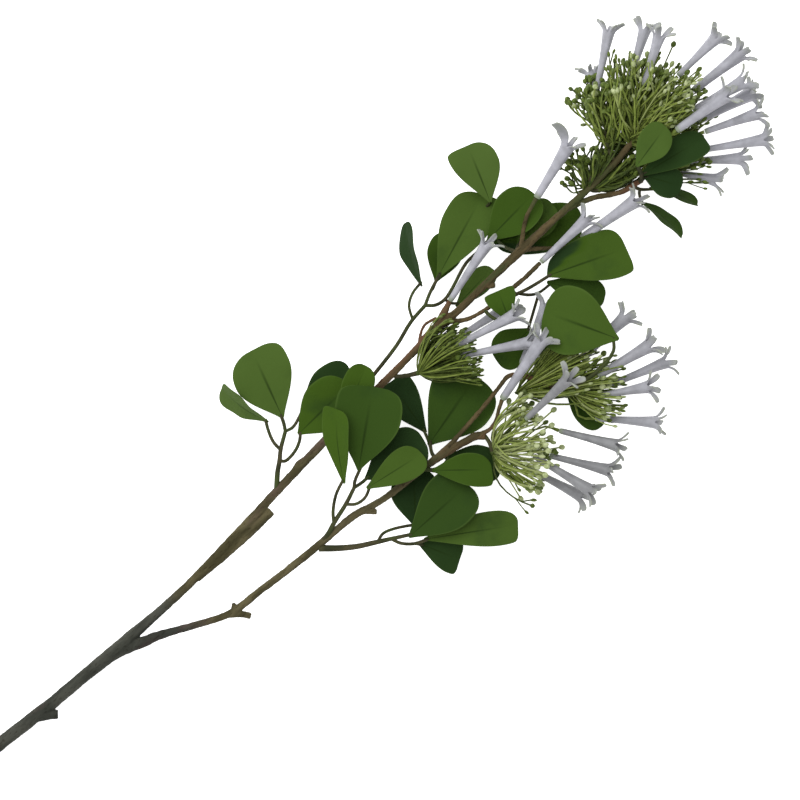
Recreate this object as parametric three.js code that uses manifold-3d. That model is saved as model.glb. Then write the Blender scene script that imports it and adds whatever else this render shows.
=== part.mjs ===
// Stephanotis sprig lying on a flat surface, in millimetres, +Z up.
// +X runs from the cut end to the flower tips, +Y to the side of the single twig near the fork.
import * as THREE from 'three';
import * as BufferGeometryUtils from 'three/addons/utils/BufferGeometryUtils.js';
import Module from 'manifold-3d';

const wasm = await Module();
wasm.setup();

// Plan places are read as they look from straight above, at this height over this point
const LENS = new THREE.Vector3(394.6, -10.1, 2400);
const READ_LEVEL = 30;

// The frame's origin is the middle of the sprig's footprint
const ORIGIN_X = 362;
const ORIGIN_Y = -31;

const GAP = 0.3;
const WELDS = [0.7, 0.6, 0.5, 0.4, 0.3, 0.2, 0.1, 0.05, 0.02];
const FINE_WELDS = [0.12, 0.08, 0.04, 0.02, 0.01];
const WELD_CHANGE = 0.03;
const STEEP = 0.92;
const TWISTED = 0.5;
const DEGREE = Math.PI / 180;

// Leaf blade
const LEAF_THICKNESS = 0.8;
const LEAF_ROOT = 2.5;
const LEAF_ROOT_HALF = 0.9;
const LEAF_FOLD = 0.16;
const LEAF_ARCH = 2.5;
const LEAF_TIP_NARROWING = 0.75;
const LEAF_TIP_ROUNDING = 0.09;
const LEAF_ROWS = 6;
const LEAF_COLUMNS = 2;
const NORMAL_STEP = 0.02;
const NORMAL_WITHIN = 0.85;

// Flower: trumpet and five lobes
const TUBE_SIDES = 5;
const TUBE_BASE_RADIUS = 1.9;
const TUBE_WAIST_RADIUS = 2.7;
const TUBE_WAIST_AT = 0.58;
const MOUTH_RADIUS = 4.8;
const MOUTH_WALL = 1;
const THROAT_DEPTH = 9;
const LOBES = 5;
const LOBE_ROOT_RADIUS = 3.5;
const LOBE_ROOT_DEPTH = 1.6;
const LOBE_LENGTH = 11.5;
const LOBE_WIDTH = 3.8;
const LOBE_THICKNESS = 0.8;
const LOBE_WIDTHS = [0.82, 1, 0.5];
const LOBE_BEND_AT = 0.55;
const LOBE_FLARE = 38;
const LOBE_WAVE = 16;
const LOBE_BEND = 45;

// Umbel: hub, stalks and buds
const HUB_RADIUS = 3;
const HUB_STEM_RADII = [1.5, 1.6, 1.9];
const HUB_STEM_SIDES = 6;
const STALK_SIDES = 3;
const STALK_START = 1.8;
const STALK_ROOT_RADIUS = 0.85;
const STALK_NECK_RADIUS = 0.75;
const BUD_RADIUS = 2.2;
const BUD_LENGTH = 6;
const FLOWER_STALK_RADIUS = 0.9;
const CALYX_RADIUS = 1.7;
const LONGEST_CALYX = 12;
const REST_BUD = 0.5;
const BUD_BELLY_AT = 0.45;
const BUD_END_RADIUS = 1;
const CLEARANCE = 1.2;
const BUDS_APART = 4.84;
const MOST_TRIES = 4000;
const FIRST_SEED = 101;
const SEED_STEP = 17;

// How finely occupied places are noted, and how wide a ball stands for a blade
const NOTE_STEP = 3;
const NOTE_ROWS = 16;
const NOTE_SIDES = 6;
const NOTE_LOBE = 4;
const NOTE_RADIUS = 2.4;

const BARK = new THREE.MeshStandardMaterial({ color: 0x4a4034, roughness: 0.85, metalness: 0 });
const LEAF = new THREE.MeshStandardMaterial({ color: 0x41602a, roughness: 0.6, metalness: 0 });
const UMBEL = new THREE.MeshStandardMaterial({ color: 0x76833f, roughness: 0.6, metalness: 0 });
const PETAL = new THREE.MeshStandardMaterial({ color: 0xd6d3df, roughness: 0.5, metalness: 0 });

// A place read from above, moved to where it lies at its own height
function at([x, y, z]) {
  const pull = (LENS.z - z) / (LENS.z - READ_LEVEL);
  return new THREE.Vector3(LENS.x + (x - LENS.x) * pull, LENS.y + (y - LENS.y) * pull, z);
}

// Makes a closed body out of a closed geometry, with its faces turned outward
function body(geometry) {
  const bare = geometry.clone();
  bare.deleteAttribute('normal');
  bare.deleteAttribute('uv');
  const merged = BufferGeometryUtils.mergeVertices(bare, 1e-4);
  const points = merged.attributes.position;
  const corners = [];
  let volume = 0;
  const a = new THREE.Vector3();
  const b = new THREE.Vector3();
  const c = new THREE.Vector3();
  for (let i = 0; i < merged.index.count; i += 3) {
    const [p, q, r] = [0, 1, 2].map((k) => merged.index.getX(i + k));
    if (p === q || q === r || r === p) continue;
    corners.push(p, q, r);
    a.fromBufferAttribute(points, p);
    b.fromBufferAttribute(points, q);
    c.fromBufferAttribute(points, r);
    volume += a.dot(b.cross(c));
  }
  if (volume < 0) corners.reverse();
  return new wasm.Manifold(new wasm.Mesh({
    numProp: 3,
    vertProperties: new Float32Array(points.array),
    triVerts: new Uint32Array(corners),
  }));
}

function fuse(bodies) {
  return wasm.Manifold.union(bodies);
}

function shell(solid) {
  const found = solid.getMesh();
  const geometry = new THREE.BufferGeometry();
  geometry.setAttribute('position', new THREE.BufferAttribute(found.vertProperties, 3));
  geometry.setIndex(new THREE.BufferAttribute(found.triVerts, 1));
  return geometry;
}

// Faces that a weld has pressed flat onto each other go away in pairs
function withoutFlatPairs(geometry) {
  const index = geometry.index.array;
  const faces = new Map();
  for (let i = 0; i < index.length; i += 3) {
    const corners = [index[i], index[i + 1], index[i + 2]];
    const flat = new Set(corners).size < 3;
    const key = [...corners].sort((p, q) => p - q).join();
    if (flat) continue;
    if (faces.has(key)) faces.delete(key);
    else faces.set(key, corners);
  }
  geometry.setIndex([...faces.values()].flat());
  return geometry;
}

// True where every edge joins exactly two faces
function isSimple(geometry) {
  const index = geometry.index.array;
  const edges = new Set();
  for (let i = 0; i < index.length; i += 3) {
    for (let k = 0; k < 3; k += 1) {
      const edge = `${index[i + k]},${index[i + ((k + 1) % 3)]}`;
      if (edges.has(edge)) return false;
      edges.add(edge);
    }
  }
  return true;
}

// Where bars and blades meet, corners nearer than a weld become one, if the body stays whole
function weld(solid, welds) {
  for (const reach of welds) {
    const geometry = withoutFlatPairs(BufferGeometryUtils.mergeVertices(shell(solid), reach));
    if (!isSimple(geometry)) continue;
    try {
      const welded = body(geometry);
      const whole = welded.decompose().length === 1;
      if (whole && Math.abs(welded.volume() / solid.volume() - 1) < WELD_CHANGE) return welded;
    } catch (unclosed) {
      continue;
    }
  }
  return solid;
}

function node(name, solid, material) {
  const geometry = shell(solid);
  geometry.translate(-ORIGIN_X, -ORIGIN_Y, 0);
  geometry.computeVertexNormals();
  const mesh = new THREE.Mesh(geometry, material);
  mesh.name = name;
  return mesh;
}

// A round bar along a curve through the points; one radius for each point
function bar(points, radii, sides, stepsEach) {
  const curve = new THREE.CatmullRomCurve3(points, false, 'centripetal');
  const steps = (points.length - 1) * stepsEach;
  const shape = new THREE.CylinderGeometry(1, 1, 1, sides, steps);
  const place = shape.attributes.position;
  const rings = ringFrames(curve, steps);
  for (let i = 0; i < place.count; i += 1) {
    const k = Math.round((0.5 - place.getY(i)) * steps);
    const ring = rings[k];
    const reach = k / stepsEach;
    const low = Math.min(Math.floor(reach), points.length - 2);
    const radius = THREE.MathUtils.lerp(radii[low], radii[low + 1], reach - low);
    const spot = ring.centre.clone();
    spot.addScaledVector(ring.side, place.getX(i) * radius);
    spot.addScaledVector(ring.over, place.getZ(i) * radius);
    place.setXYZ(i, spot.x, spot.y, spot.z);
  }
  return body(shape);
}

// Side and upper direction of each ring, with no sudden twist from one to the next
function ringFrames(curve, steps) {
  const rings = [];
  for (let k = 0; k <= steps; k += 1) {
    const centre = curve.getPoint(k / steps);
    const along = curve.getTangent(k / steps);
    const steep = Math.abs(along.z) > STEEP;
    const up = steep ? new THREE.Vector3(1, 0, 0) : new THREE.Vector3(0, 0, 1);
    const side = up.clone().cross(along).normalize();
    const over = along.clone().cross(side).normalize();
    rings.push({ centre, side, over });
  }
  for (let k = 1; k <= steps; k += 1) {
    const last = rings[k - 1].side;
    if (rings[k].side.dot(last) < TWISTED) {
      const along = rings[k].side.clone().cross(rings[k].over);
      rings[k].side.copy(last).addScaledVector(along, -last.dot(along)).normalize();
      rings[k].over.crossVectors(along, rings[k].side).normalize();
    }
  }
  return rings;
}

// Woody stem. Each row: x, y, height, radius
const MAIN_STEM = [
  [-34, 1, 4.9, 4.9], [0, -1, 5.6, 4.8], [30, -3.2, 6.5, 4.75], [50, -4.5, 7.2, 4.5],
  [80, -5.5, 8.5, 4.5], [100, -6.5, 9.8, 5], [115, -7.5, 11, 5.4], [130, -6.8, 12.3, 4.2],
  [150, -7.2, 13.8, 3.3], [180, -7, 16, 3], [200, -6, 17.5, 3.1], [220, -4.5, 19, 3.4],
  [240, -3, 20.5, 3.5], [260, -1.2, 22, 3.3], [270, 0, 22.8, 3], [300, 2.5, 25, 3],
  [335, 5, 27.5, 3], [365, 6.5, 29.5, 2.8], [395, 8, 31, 2.5], [430, 10, 33, 2.5],
  [450, 12, 34, 3.5], [470, 10.5, 35, 2.6], [500, 11.5, 36, 2.5], [537, 12.6, 37.6, 3.2],
  [570, 13, 39, 2.4], [600, 13, 40, 2.4], [625, 13.8, 41, 2.3], [640, 15, 42, 2.3], [655, 18, 43, 2],
];
const SECOND_STEM = [
  [192, -8, 16.3, 2.4], [220, -8.3, 18, 3.2], [240, -8.3, 19.5, 3.5], [255, -7.9, 20.5, 3.4],
  [267, -7.6, 21.3, 3.2],
];
const LOWER_BRANCH = [
  [106, -8.5, 10.3, 3.6], [120, -12, 11, 4.1], [130, -16, 12, 3.9], [140, -19.5, 12.8, 3.3],
  [150, -24, 13.5, 2.8], [170, -34, 14.7, 2.4], [190, -43, 16, 2.5], [200, -45, 16.5, 2.8],
  [220, -46.2, 17.8, 2.5], [245, -48.3, 19.3, 2.6], [273, -50, 21, 2.8], [290, -50.5, 22, 2.4],
  [312, -51.5, 23.5, 2.7], [325, -55, 24, 2.4], [340, -57.5, 25, 2.3], [375, -60, 27, 2.4],
  [392, -62.5, 28, 2.4], [410, -66, 29, 2.6], [419, -68.5, 29.5, 2.9], [424, -73, 29.5, 2.6],
];
const WOODY_TWIGS = [
  // thin branch over the wide leaf, on to the lower umbels
  [[372, -59.5, 27, 2], [400, -60, 29, 1.6], [420, -58, 30, 1.5], [440, -55.5, 31, 1.4],
    [455, -53, 31.5, 1.4], [468, -51.5, 31, 1.5], [477, -61, 28, 1.6], [484, -74, 27, 1.6],
    [491, -86, 25, 1.8]],
  // knot and stub low on the stem
  [[33, -4, 6.6, 4.2], [40, -8, 6.4, 3.6], [46, -13.5, 6, 2.5]],
  // stubs of the lower branch
  [[197, -43.5, 16.5, 2], [200, -40, 17, 1.3]],
  [[192, -44, 16, 2.5], [198, -49, 15.6, 2.3], [203, -55.5, 15, 2.1]],
  [[318, -53, 23.7, 2.2], [325.5, -60.5, 22.5, 1.8]],
  // knobs of the main stem
  [[300, 3, 25, 2.6], [306, 4.4, 25.5, 2.9], [312, 4, 26, 2.5]],
  [[501, 9.5, 36, 2.2], [505, 6.2, 35.5, 1.8]],
  // small loop below the branching knot
  [[432, 10.5, 33, 0.9], [438, 15.5, 33.3, 0.9], [446, 19.3, 33.8, 0.9], [456, 17.5, 34.3, 1.1]],
  // twig above the wide node, and one that carries the umbel and leaves of the head
  [[585, 12, 39, 2], [603, 6, 37, 1.9], [622, -5, 35, 1.8], [640, -9, 34, 1.8]],
];
const STEM_SIDES = 8;
const BRANCH_SIDES = 7;
const TWIG_SIDES = 5;
const TWIGLET_SIDES = 4;

// Flowers: base and mouth of the trumpet, then the turn of its lobes in degrees
const FLOWERS = {
  flower_g1: [[572, 34, 48], [615, 47, 57], 20],
  flower_g2: [[472, 20, 36.5], [520, 33, 51], 10],
  flower_g3: [[542, -4, 35], [588, -3, 39], 0],
  flower_g4: [[577, -11, 28], [625, -17, 45], 0],
  flower_h0: [[455, -4, 24], [503, -12, 21], 40],
  flower_h1: [[453, -8, 40], [500, -20, 55], 15],
  flower_h2: [[449, -15, 38], [494, -42, 41], 10],
  flower_h3: [[452, -61, 41], [503, -48, 58], 25],
  flower_h4: [[480, -51, 24], [523, -31, 30], 0],
  flower_j1: [[455, -84, 48], [498, -83, 72], 12],
  flower_j2: [[468, -107, 28], [492, -143, 38], 60],
  flower_j3: [[450, -116, 22], [475, -153, 30], 35],
  flower_j4: [[441, -108, 36], [455, -155, 44], 5],
  flower_j5: [[431, -110, 20], [447, -154, 20], 45],
  flower_i1: [[515, -78, 24], [561, -77, 26], 18],
  flower_i2: [[517, -96, 32], [560, -105, 38], 40],
  flower_i3: [[516, -106, 20], [561, -122, 22], 10],
  flower_i4: [[508, -108, 30], [539, -127, 40], 55],
  flower_i5: [[494, -118, 18], [525, -150, 20], 30],
  flower_t1: [[660, 64, 34], [695, 90, 40], 22],
  flower_t2: [[653, 52, 25], [665, 76, 21], 0],
  flower_t3: [[688, 43, 58], [721, 62, 66], 48],
  flower_t4: [[680, 51, 40], [716, 73, 44], 12],
  flower_f3: [[712, 31, 52], [751, 33, 56], 33],
  flower_f4: [[713, 15, 40], [757, 12, 42], 5],
  flower_f5: [[703, 4, 50], [745, -5, 53], 52],
  flower_f6: [[684, 1.5, 60], [729, -4, 74], 28],
  flower_f7: [[700, -4, 36], [742, -15, 33], 44],
  flower_f8: [[699, -13.5, 46], [736, -29, 52], 15],
  flower_f9: [[688, -22, 36], [727, -47, 38], 36],
  flower_f10: [[672, -19, 25], [705, -46, 23], 8],
  flower_f11: [[663, -22, 21], [680, -45, 24], 50],
};

function flowerFrame(name) {
  const [base, mouth] = FLOWERS[name];
  const root = at(base);
  const along = at(mouth).sub(root);
  const length = along.length();
  along.normalize();
  return { root, along, length };
}

// The point a hair before a flower's base, where its stalk ends
function seat(name) {
  const { root, along } = flowerFrame(name);
  return root.clone().addScaledVector(along, -GAP);
}

// Woody stalks that end at a flower: the flower and the rows before it
const WOODY_FLOWER_STALKS = [
  ['flower_g1', [[538, 13, 38, 1.8], [546, 20.5, 42, 1.4], [557, 28.5, 46, 1.2]]],
  ['flower_g2', [[452, 12, 34.2, 3.2], [462, 16, 35.2, 2.6]]],
  ['flower_g3', [[461, 9, 34, 1.8], [472, 1.5, 33, 1.5], [490, -3, 33, 1.3], [508, -4, 34, 1.4],
    [526, -4.6, 34.4, 1.5]]],
  ['flower_g4', [[538, 12, 37.5, 1.7], [547, 5.5, 32, 1.3], [557, -3, 25.5, 1.2], [567, -9.5, 25, 1.2]]],
  ['flower_h3', [[422, -69.5, 29.8, 1.6], [430, -71.5, 32, 1.3], [438, -69.5, 35, 1.2],
    [445, -65, 38.5, 1.2]]],
];
const SEAT_RADIUS = 1.5;

function rowsToBar(rows, sides, stepsEach, grow) {
  return bar(rows.map(at), rows.map((row) => row[3] + grow), sides, stepsEach);
}

function woodyBodies(grow) {
  const bodies = [
    rowsToBar(MAIN_STEM, STEM_SIDES, 1, grow),
    rowsToBar(SECOND_STEM, BRANCH_SIDES, 1, grow),
    rowsToBar(LOWER_BRANCH, BRANCH_SIDES, 1, grow),
  ];
  WOODY_TWIGS.forEach((rows) => bodies.push(rowsToBar(rows, TWIG_SIDES, 1, grow)));
  WOODY_FLOWER_STALKS.forEach(([name, rows]) => {
    const points = rows.map(at);
    points.push(seat(name));
    bodies.push(bar(points, [...rows.map((row) => row[3] + grow), SEAT_RADIUS + grow], TWIG_SIDES, 1));
  });
  return bodies;
}

// Leaf sprays: forked twigs (x, y, height of each point, radius at both ends) and leaves.
// A leaf: base, tip, width, roll in degrees (its right side up), how far along it is widest
const SPRAYS = {
  leaf_spray_a: {
    twigs: [
      [[[281, 2, 24], [290, 11, 26], [297, 16.5, 27], [303, 22, 28], [315, 30, 29]], 1.9, 1.3],
      [[[303, 22, 28], [303, 30, 28], [305.5, 38, 28], [310, 47, 28]], 1.2, 1.1],
      [[[315, 30, 29], [318, 35, 30], [321, 42, 31]], 1.2, 1.2],
      [[[315, 30, 29], [321, 28.5, 27], [330, 31, 23], [341, 36, 20]], 1.1, 1.1],
      [[[297, 16.5, 27], [300, 13.5, 27], [310, 14, 27], [318, 17.5, 27], [323, 22, 27]], 1.2, 1.1],
    ],
    leaves: [
      [[310, 46, 28], [306, 87, 28], 32, 66, 0.7],
      [[321, 41, 31], [337, 92, 35], 46, 0, 0.62],
      [[341, 36, 20], [382, 32, 18], 29, 0, 0.55],
      [[323, 22, 27], [374, 24, 33], 40, 0, 0.6],
    ],
  },
  leaf_spray_b: {
    twigs: [
      [[[281, -50, 22], [288, -48.5, 24], [296, -45.5, 27], [312, -41, 32], [325, -36, 36]], 1.9, 1.3],
      [[[296, -45.5, 27], [301, -39, 31], [311, -31, 38], [323, -26, 46]], 1.2, 1.1],
      [[[325, -36, 36], [329, -32.5, 40], [339, -28, 46]], 1.2, 1.1],
      [[[325, -36, 36], [332, -37, 34], [339, -37, 32]], 1.2, 1.1],
      [[[312, -41, 32], [318, -46, 35], [326, -47, 38], [335, -43, 41]], 1.1, 1.1],
      [[[338.5, -28.3, 45.6], [345, -20, 41], [352, -4, 38], [355, 8, 38]], 1.05, 1],
    ],
    leaves: [
      [[323, -27, 46], [352, 19, 58], 26, -42, 0.6],
      [[338, -27, 46], [386, 11, 51], 51, 0, 0.6],
      [[338, -37, 32], [388, -44, 31], 38, 0, 0.6],
      [[334, -43, 41], [380, -51, 43], 26, 0, 0.74],
      [[354, 8, 38], [393, 26, 41], 24, 0, 0.66],
    ],
  },
  leaf_spray_c: {
    twigs: [
      [[[374, -61, 27], [377, -65, 31], [380, -69, 36]], 1.7, 1.2],
      [[[377, -65, 31], [384, -68, 24], [393, -67, 15]], 1.2, 1.1],
    ],
    leaves: [
      [[379, -67, 36], [411, -95, 38], 26, 0, 0.62],
      [[392, -66, 15], [417, -98, 14], 28, 0, 0.6],
    ],
  },
  leaf_spray_o: {
    twigs: [
      [[[385, -61, 27.6], [386, -55, 23], [391, -48, 18]], 1.4, 1.1],
      [[[386, -55, 23], [390, -47, 15], [393, -38, 9]], 1.1, 1],
    ],
    leaves: [
      [[390, -49, 18], [449, -35, 17], 54, 0, 0.62],
      [[393, -39, 9], [398, 5, 9], 30, 0, 0.66],
    ],
  },
  leaf_spray_d: {
    twigs: [
      [[[275, -52, 21], [285, -61, 21.5], [297, -70, 22], [311, -78, 23], [320, -83, 24],
        [334, -91, 27]], 2.4, 1.2],
      [[[311, -78, 23], [318, -76, 20], [327, -79, 16], [342, -88, 13]], 1.1, 1.1],
      [[[320, -83, 24], [323, -90, 23], [330, -97, 22], [341, -102, 21]], 1.2, 1.1],
      [[[329, -96, 22], [332, -99, 17], [335, -103, 12]], 1.1, 1],
    ],
    leaves: [
      [[341, -87, 13], [367, -56, 12], 36, 0, 0.62],
      [[333, -91, 27], [390, -91, 29], 43, 0, 0.64],
      [[340, -101, 21], [397, -140, 17], 34, 0, 0.66],
      [[334, -101, 12], [346, -139, 7], 25, 0, 0.66],
    ],
  },
  leaf_spray_e: {
    twigs: [
      [[[345, 6, 27], [365, 12, 27.4], [386, 16, 28.4], [420, 22, 30], [440, 28, 31],
        [456, 30, 31]], 1.4, 1.3],
      [[[442, 28.4, 31], [447, 38, 32], [455, 43, 32], [466, 45, 32]], 1, 1],
      [[[456, 30, 31], [466, 35, 31], [480, 40, 31]], 1.2, 1.1],
      [[[466, 35, 31], [470, 36, 26], [477, 40, 22]], 1.1, 1],
      [[[456, 30, 31], [462, 25, 30], [470, 23.5, 29], [480, 26, 28.5], [500, 33, 27.5], [513, 33.5, 29],
        [527, 35, 37]], 1.2, 1.1],
      [[[480, 40, 31], [486, 43, 26], [510, 50, 25], [536, 54, 29], [544, 55, 38], [545, 58, 43]], 1.1, 1],
      [[[470, 23.5, 29], [472, 18, 22], [476, 14, 18]], 1.1, 1],
    ],
    leaves: [
      [[465, 44, 32], [487, 86, 32], 27, 72, 0.55],
      [[479, 40, 30], [544, 63, 31], 38, 0, 0.62],
      [[476, 39, 22], [506, 57, 21], 27, 0, 0.6],
      [[526, 35, 37], [573, 38, 39], 35, 0, 0.62],
      [[545, 57, 43], [560, 98, 45], 36, 0, 0.62],
      [[475, 14, 18], [512, 17, 19], 19, 0, 0.66],
    ],
  },
  leaf_spray_k: {
    twigs: [
      [[[536, 12, 37.5], [534, 14, 31], [537, 16, 27], [542, 18, 25]], 1.6, 1.1],
      [[[534, 14, 31], [530, 22, 21], [529, 30, 12]], 1.2, 1],
    ],
    leaves: [
      [[541, 18, 25], [578, 22, 25], 26, 0, 0.62],
      [[528, 30, 12], [583, 4, 11], 35, 0, 0.55],
    ],
  },
  leaf_spray_g: {
    twigs: [
      [[[505, -4, 34], [508, -8, 32.5], [514, -10, 31], [523, -12.5, 30], [542, -16, 28]], 1.4, 1.1],
      [[[514, -10, 31], [519, -16, 26], [526, -20, 18.5], [538, -21, 18.5]], 1.1, 1],
      [[[526, -20, 18.5], [513, -28, 15], [500, -36, 14]], 1, 1],
    ],
    leaves: [
      [[541, -16, 28], [597, -39, 29], 39, 0, 0.64],
      [[537, -20, 19], [560, -56, 16], 25, 0, 0.64],
      [[501, -36, 14], [468, -37, 13], 30, 0, 0.6],
    ],
  },
  leaf_spray_m: {
    twigs: [
      [[[487, -2.6, 33], [487, -8, 38], [490, -16, 42], [497, -20, 43.5]], 1.3, 1.1],
    ],
    leaves: [
      [[496, -19, 43.5], [497, 8, 41], 25, 0, 0.5],
    ],
  },
  leaf_spray_i: {
    twigs: [
      [[[483, -73, 27], [482, -76, 20], [479, -74, 12]], 1.4, 1],
      [[[482, -76, 20], [488, -84, 12], [492, -92, 9]], 1.1, 1],
    ],
    leaves: [
      [[477, -70, 12], [523, -60, 10], 30, 0, 0.6],
      [[492, -91, 9], [492, -126, 8], 19, 0, 0.6],
    ],
  },
  leaf_spray_l: {
    twigs: [
      [[[486, -77, 27], [496, -88, 37], [518, -93, 42], [538, -90, 44], [545, -82, 45]], 1.5, 1.1],
    ],
    leaves: [
      [[546, -84, 45], [520, -35, 46], 45, 0, 0.6],
    ],
  },
  leaf_spray_n: {
    twigs: [
      [[[638, -8.6, 34], [640, -8, 42], [643, -4, 50], [644, 0, 57], [648, 3, 61]], 1.6, 1.2],
      [[[641, -6.5, 44], [643, -6, 45], [647, -7, 45.8]], 1.2, 1.1],
      [[[640, -8, 40], [643, -9, 41], [646, -12, 41]], 1.2, 1.1],
    ],
    leaves: [
      [[646, 2, 60.5], [680, 9, 63], 25, 0, 0.6],
      [[644, -6.5, 45.5], [696, -16.5, 50], 24, 0, 0.64],
      [[644, -9, 41], [660, -36, 38], 24, 0, 0.6],
    ],
  },
  leaf_spray_p: {
    twigs: [
      [[[632, -7, 34.5], [634, -13, 28], [642, -20, 25]], 1.3, 1],
      [[[634, -13, 28], [631, -16, 20], [628, -23, 15]], 1.1, 1],
    ],
    leaves: [
      [[641, -19, 25], [658, -51, 20], 22, 62, 0.7],
      [[628, -22, 15], [633, -61, 14], 24, 62, 0.6],
    ],
  },
};

// The right-handed frame of a leaf: forward, its left side and its upper side
function leafFrame(base, tip, roll) {
  const forward = tip.clone().sub(base);
  const length = forward.length();
  forward.normalize();
  const level = new THREE.Vector3(0, 0, 1).cross(forward).normalize();
  const left = level.applyAxisAngle(forward, -roll * DEGREE);
  const over = forward.clone().cross(left);
  return { forward, left, over, length };
}

// Half the width of a leaf: a wedge up to its widest place, then a broad round tip
function leafHalfWidth(t, half, swell) {
  if (t < swell) {
    const growth = Math.sin((Math.PI / 2) * (t / swell) ** 0.95);
    return LEAF_ROOT_HALF + (half - LEAF_ROOT_HALF) * growth;
  }
  const past = (t - swell) / (1 - swell);
  return half * Math.sqrt(1 - LEAF_TIP_NARROWING * past * past);
}

// A point of the leaf's middle surface; t runs to the tip and s from side to side
function leafPoint(leaf, t, s) {
  const [base, tip, width, roll, swell] = leaf;
  const root = at(base);
  const { forward, left, over, length } = leafFrame(root, at(tip), roll);
  const across = leafHalfWidth(t, width / 2, swell) * s;
  const rounding = 1 - LEAF_TIP_ROUNDING * s * s * t ** 3;
  const along = -LEAF_ROOT + (length + LEAF_ROOT) * t * rounding;
  const rise = LEAF_FOLD * Math.abs(across) + LEAF_ARCH * Math.sin(Math.PI * t);
  return root.addScaledVector(forward, along).addScaledVector(left, across).addScaledVector(over, rise);
}

// The upper side's direction, measured a little inside the rim, where the sheet is even
function leafNormal(leaf, t, s) {
  const inT = THREE.MathUtils.clamp(t, NORMAL_STEP, NORMAL_WITHIN);
  const inS = s * NORMAL_WITHIN;
  const ahead = leafPoint(leaf, inT + NORMAL_STEP, inS).sub(leafPoint(leaf, inT - NORMAL_STEP, inS));
  const aside = leafPoint(leaf, inT, inS + NORMAL_STEP).sub(leafPoint(leaf, inT, inS - NORMAL_STEP));
  return aside.cross(ahead).normalize();
}

// Two sheets cut into triangles alike, joined by a rim
function blade(leaf) {
  const sheet = new THREE.PlaneGeometry(1, 1, LEAF_COLUMNS, LEAF_ROWS);
  const count = sheet.attributes.position.count;
  const points = [];
  [1, -1].forEach((face) => {
    for (let i = 0; i < count; i += 1) {
      const s = sheet.attributes.position.getX(i) * 2;
      const t = 0.5 - sheet.attributes.position.getY(i);
      const offset = leafNormal(leaf, t, s).multiplyScalar((face * LEAF_THICKNESS) / 2);
      points.push(leafPoint(leaf, t, s).add(offset));
    }
  });
  const faces = Array.from(sheet.index.array);
  const corners = [...faces];
  for (let i = 0; i < faces.length; i += 3) {
    corners.push(faces[i] + count, faces[i + 2] + count, faces[i + 1] + count);
  }
  const loop = rimLoop();
  loop.forEach((here, i) => {
    const next = loop[(i + 1) % loop.length];
    corners.push(here, here + count, next + count, here, next + count, next);
  });
  const geometry = new THREE.BufferGeometry();
  const places = points.flatMap((point) => point.toArray());
  geometry.setAttribute('position', new THREE.Float32BufferAttribute(places, 3));
  geometry.setIndex(corners);
  return body(geometry);
}

// The border of a sheet, walked with the sheet on the left hand
function rimLoop() {
  const wide = LEAF_COLUMNS + 1;
  const loop = [];
  for (let row = 0; row < LEAF_ROWS; row += 1) loop.push(row * wide);
  for (let column = 0; column < LEAF_COLUMNS; column += 1) loop.push(LEAF_ROWS * wide + column);
  for (let row = LEAF_ROWS; row > 0; row -= 1) loop.push(row * wide + LEAF_COLUMNS);
  for (let column = LEAF_COLUMNS; column > 0; column -= 1) loop.push(column);
  return loop;
}

function twigBar([rows, from, to]) {
  const radii = rows.map((row, i) => THREE.MathUtils.lerp(from, to, i / (rows.length - 1)));
  return bar(rows.map(at), radii, TWIGLET_SIDES, 1);
}

function spray({ twigs, leaves }) {
  return fuse([...twigs.map(twigBar), ...leaves.map(blade)]);
}

// Trumpet with an open throat
function trumpet(length) {
  const profile = [
    [0, 0], [TUBE_BASE_RADIUS, 0], [TUBE_WAIST_RADIUS, length * TUBE_WAIST_AT],
    [MOUTH_RADIUS, length], [MOUTH_RADIUS - MOUTH_WALL, length], [0, length - THROAT_DEPTH],
  ];
  const shape = new THREE.LatheGeometry(profile.map(([r, h]) => new THREE.Vector2(r, h)), TUBE_SIDES);
  shape.rotateY(Math.PI / TUBE_SIDES);
  return shape;
}

// A strap that leaves the mouth, widens and bends back
function lobe(flare) {
  const strap = new THREE.BoxGeometry(LOBE_WIDTH, 1, 1, 1, 1, 2);
  const place = strap.attributes.position;
  const first = flare * DEGREE;
  const second = (flare + LOBE_BEND) * DEGREE;
  const facing = [first, first, (flare + (LOBE_BEND * 2) / 3) * DEGREE];
  const straight = LOBE_BEND_AT * LOBE_LENGTH;
  const bent = LOBE_LENGTH - straight;
  const runs = [[0, 0], [straight, 0], [straight, bent]];
  for (let i = 0; i < place.count; i += 1) {
    const k = Math.round((place.getZ(i) + 0.5) * 2);
    const [before, after] = runs[k];
    const out = LOBE_ROOT_RADIUS + Math.sin(first) * before + Math.sin(second) * after;
    const up = -LOBE_ROOT_DEPTH + Math.cos(first) * before + Math.cos(second) * after;
    const offset = place.getY(i) * LOBE_THICKNESS;
    const across = place.getX(i) * LOBE_WIDTHS[k];
    place.setXYZ(i, across, up + Math.sin(facing[k]) * offset, out - Math.cos(facing[k]) * offset);
  }
  return strap;
}

// How far a lobe leans out, in degrees; it differs from lobe to lobe
function lobeFlare(turn, k) {
  return LOBE_FLARE + LOBE_WAVE * Math.sin(turn * 0.7 + k * 2.3);
}

function flower(name) {
  const { root, along, length } = flowerFrame(name);
  const turn = FLOWERS[name][2];
  const tube = trumpet(length);
  tube.rotateY(turn * DEGREE);
  const pieces = [body(tube)];
  for (let k = 0; k < LOBES; k += 1) {
    const strap = lobe(lobeFlare(turn, k));
    strap.rotateY((turn + (k * 360) / LOBES) * DEGREE);
    strap.translate(0, length, 0);
    pieces.push(body(strap));
  }
  const lean = new THREE.Quaternion().setFromUnitVectors(new THREE.Vector3(0, 1, 0), along);
  const matrix = new THREE.Matrix4().compose(root, lean, new THREE.Vector3(1, 1, 1));
  return fuse(pieces).transform(matrix.elements);
}

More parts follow.
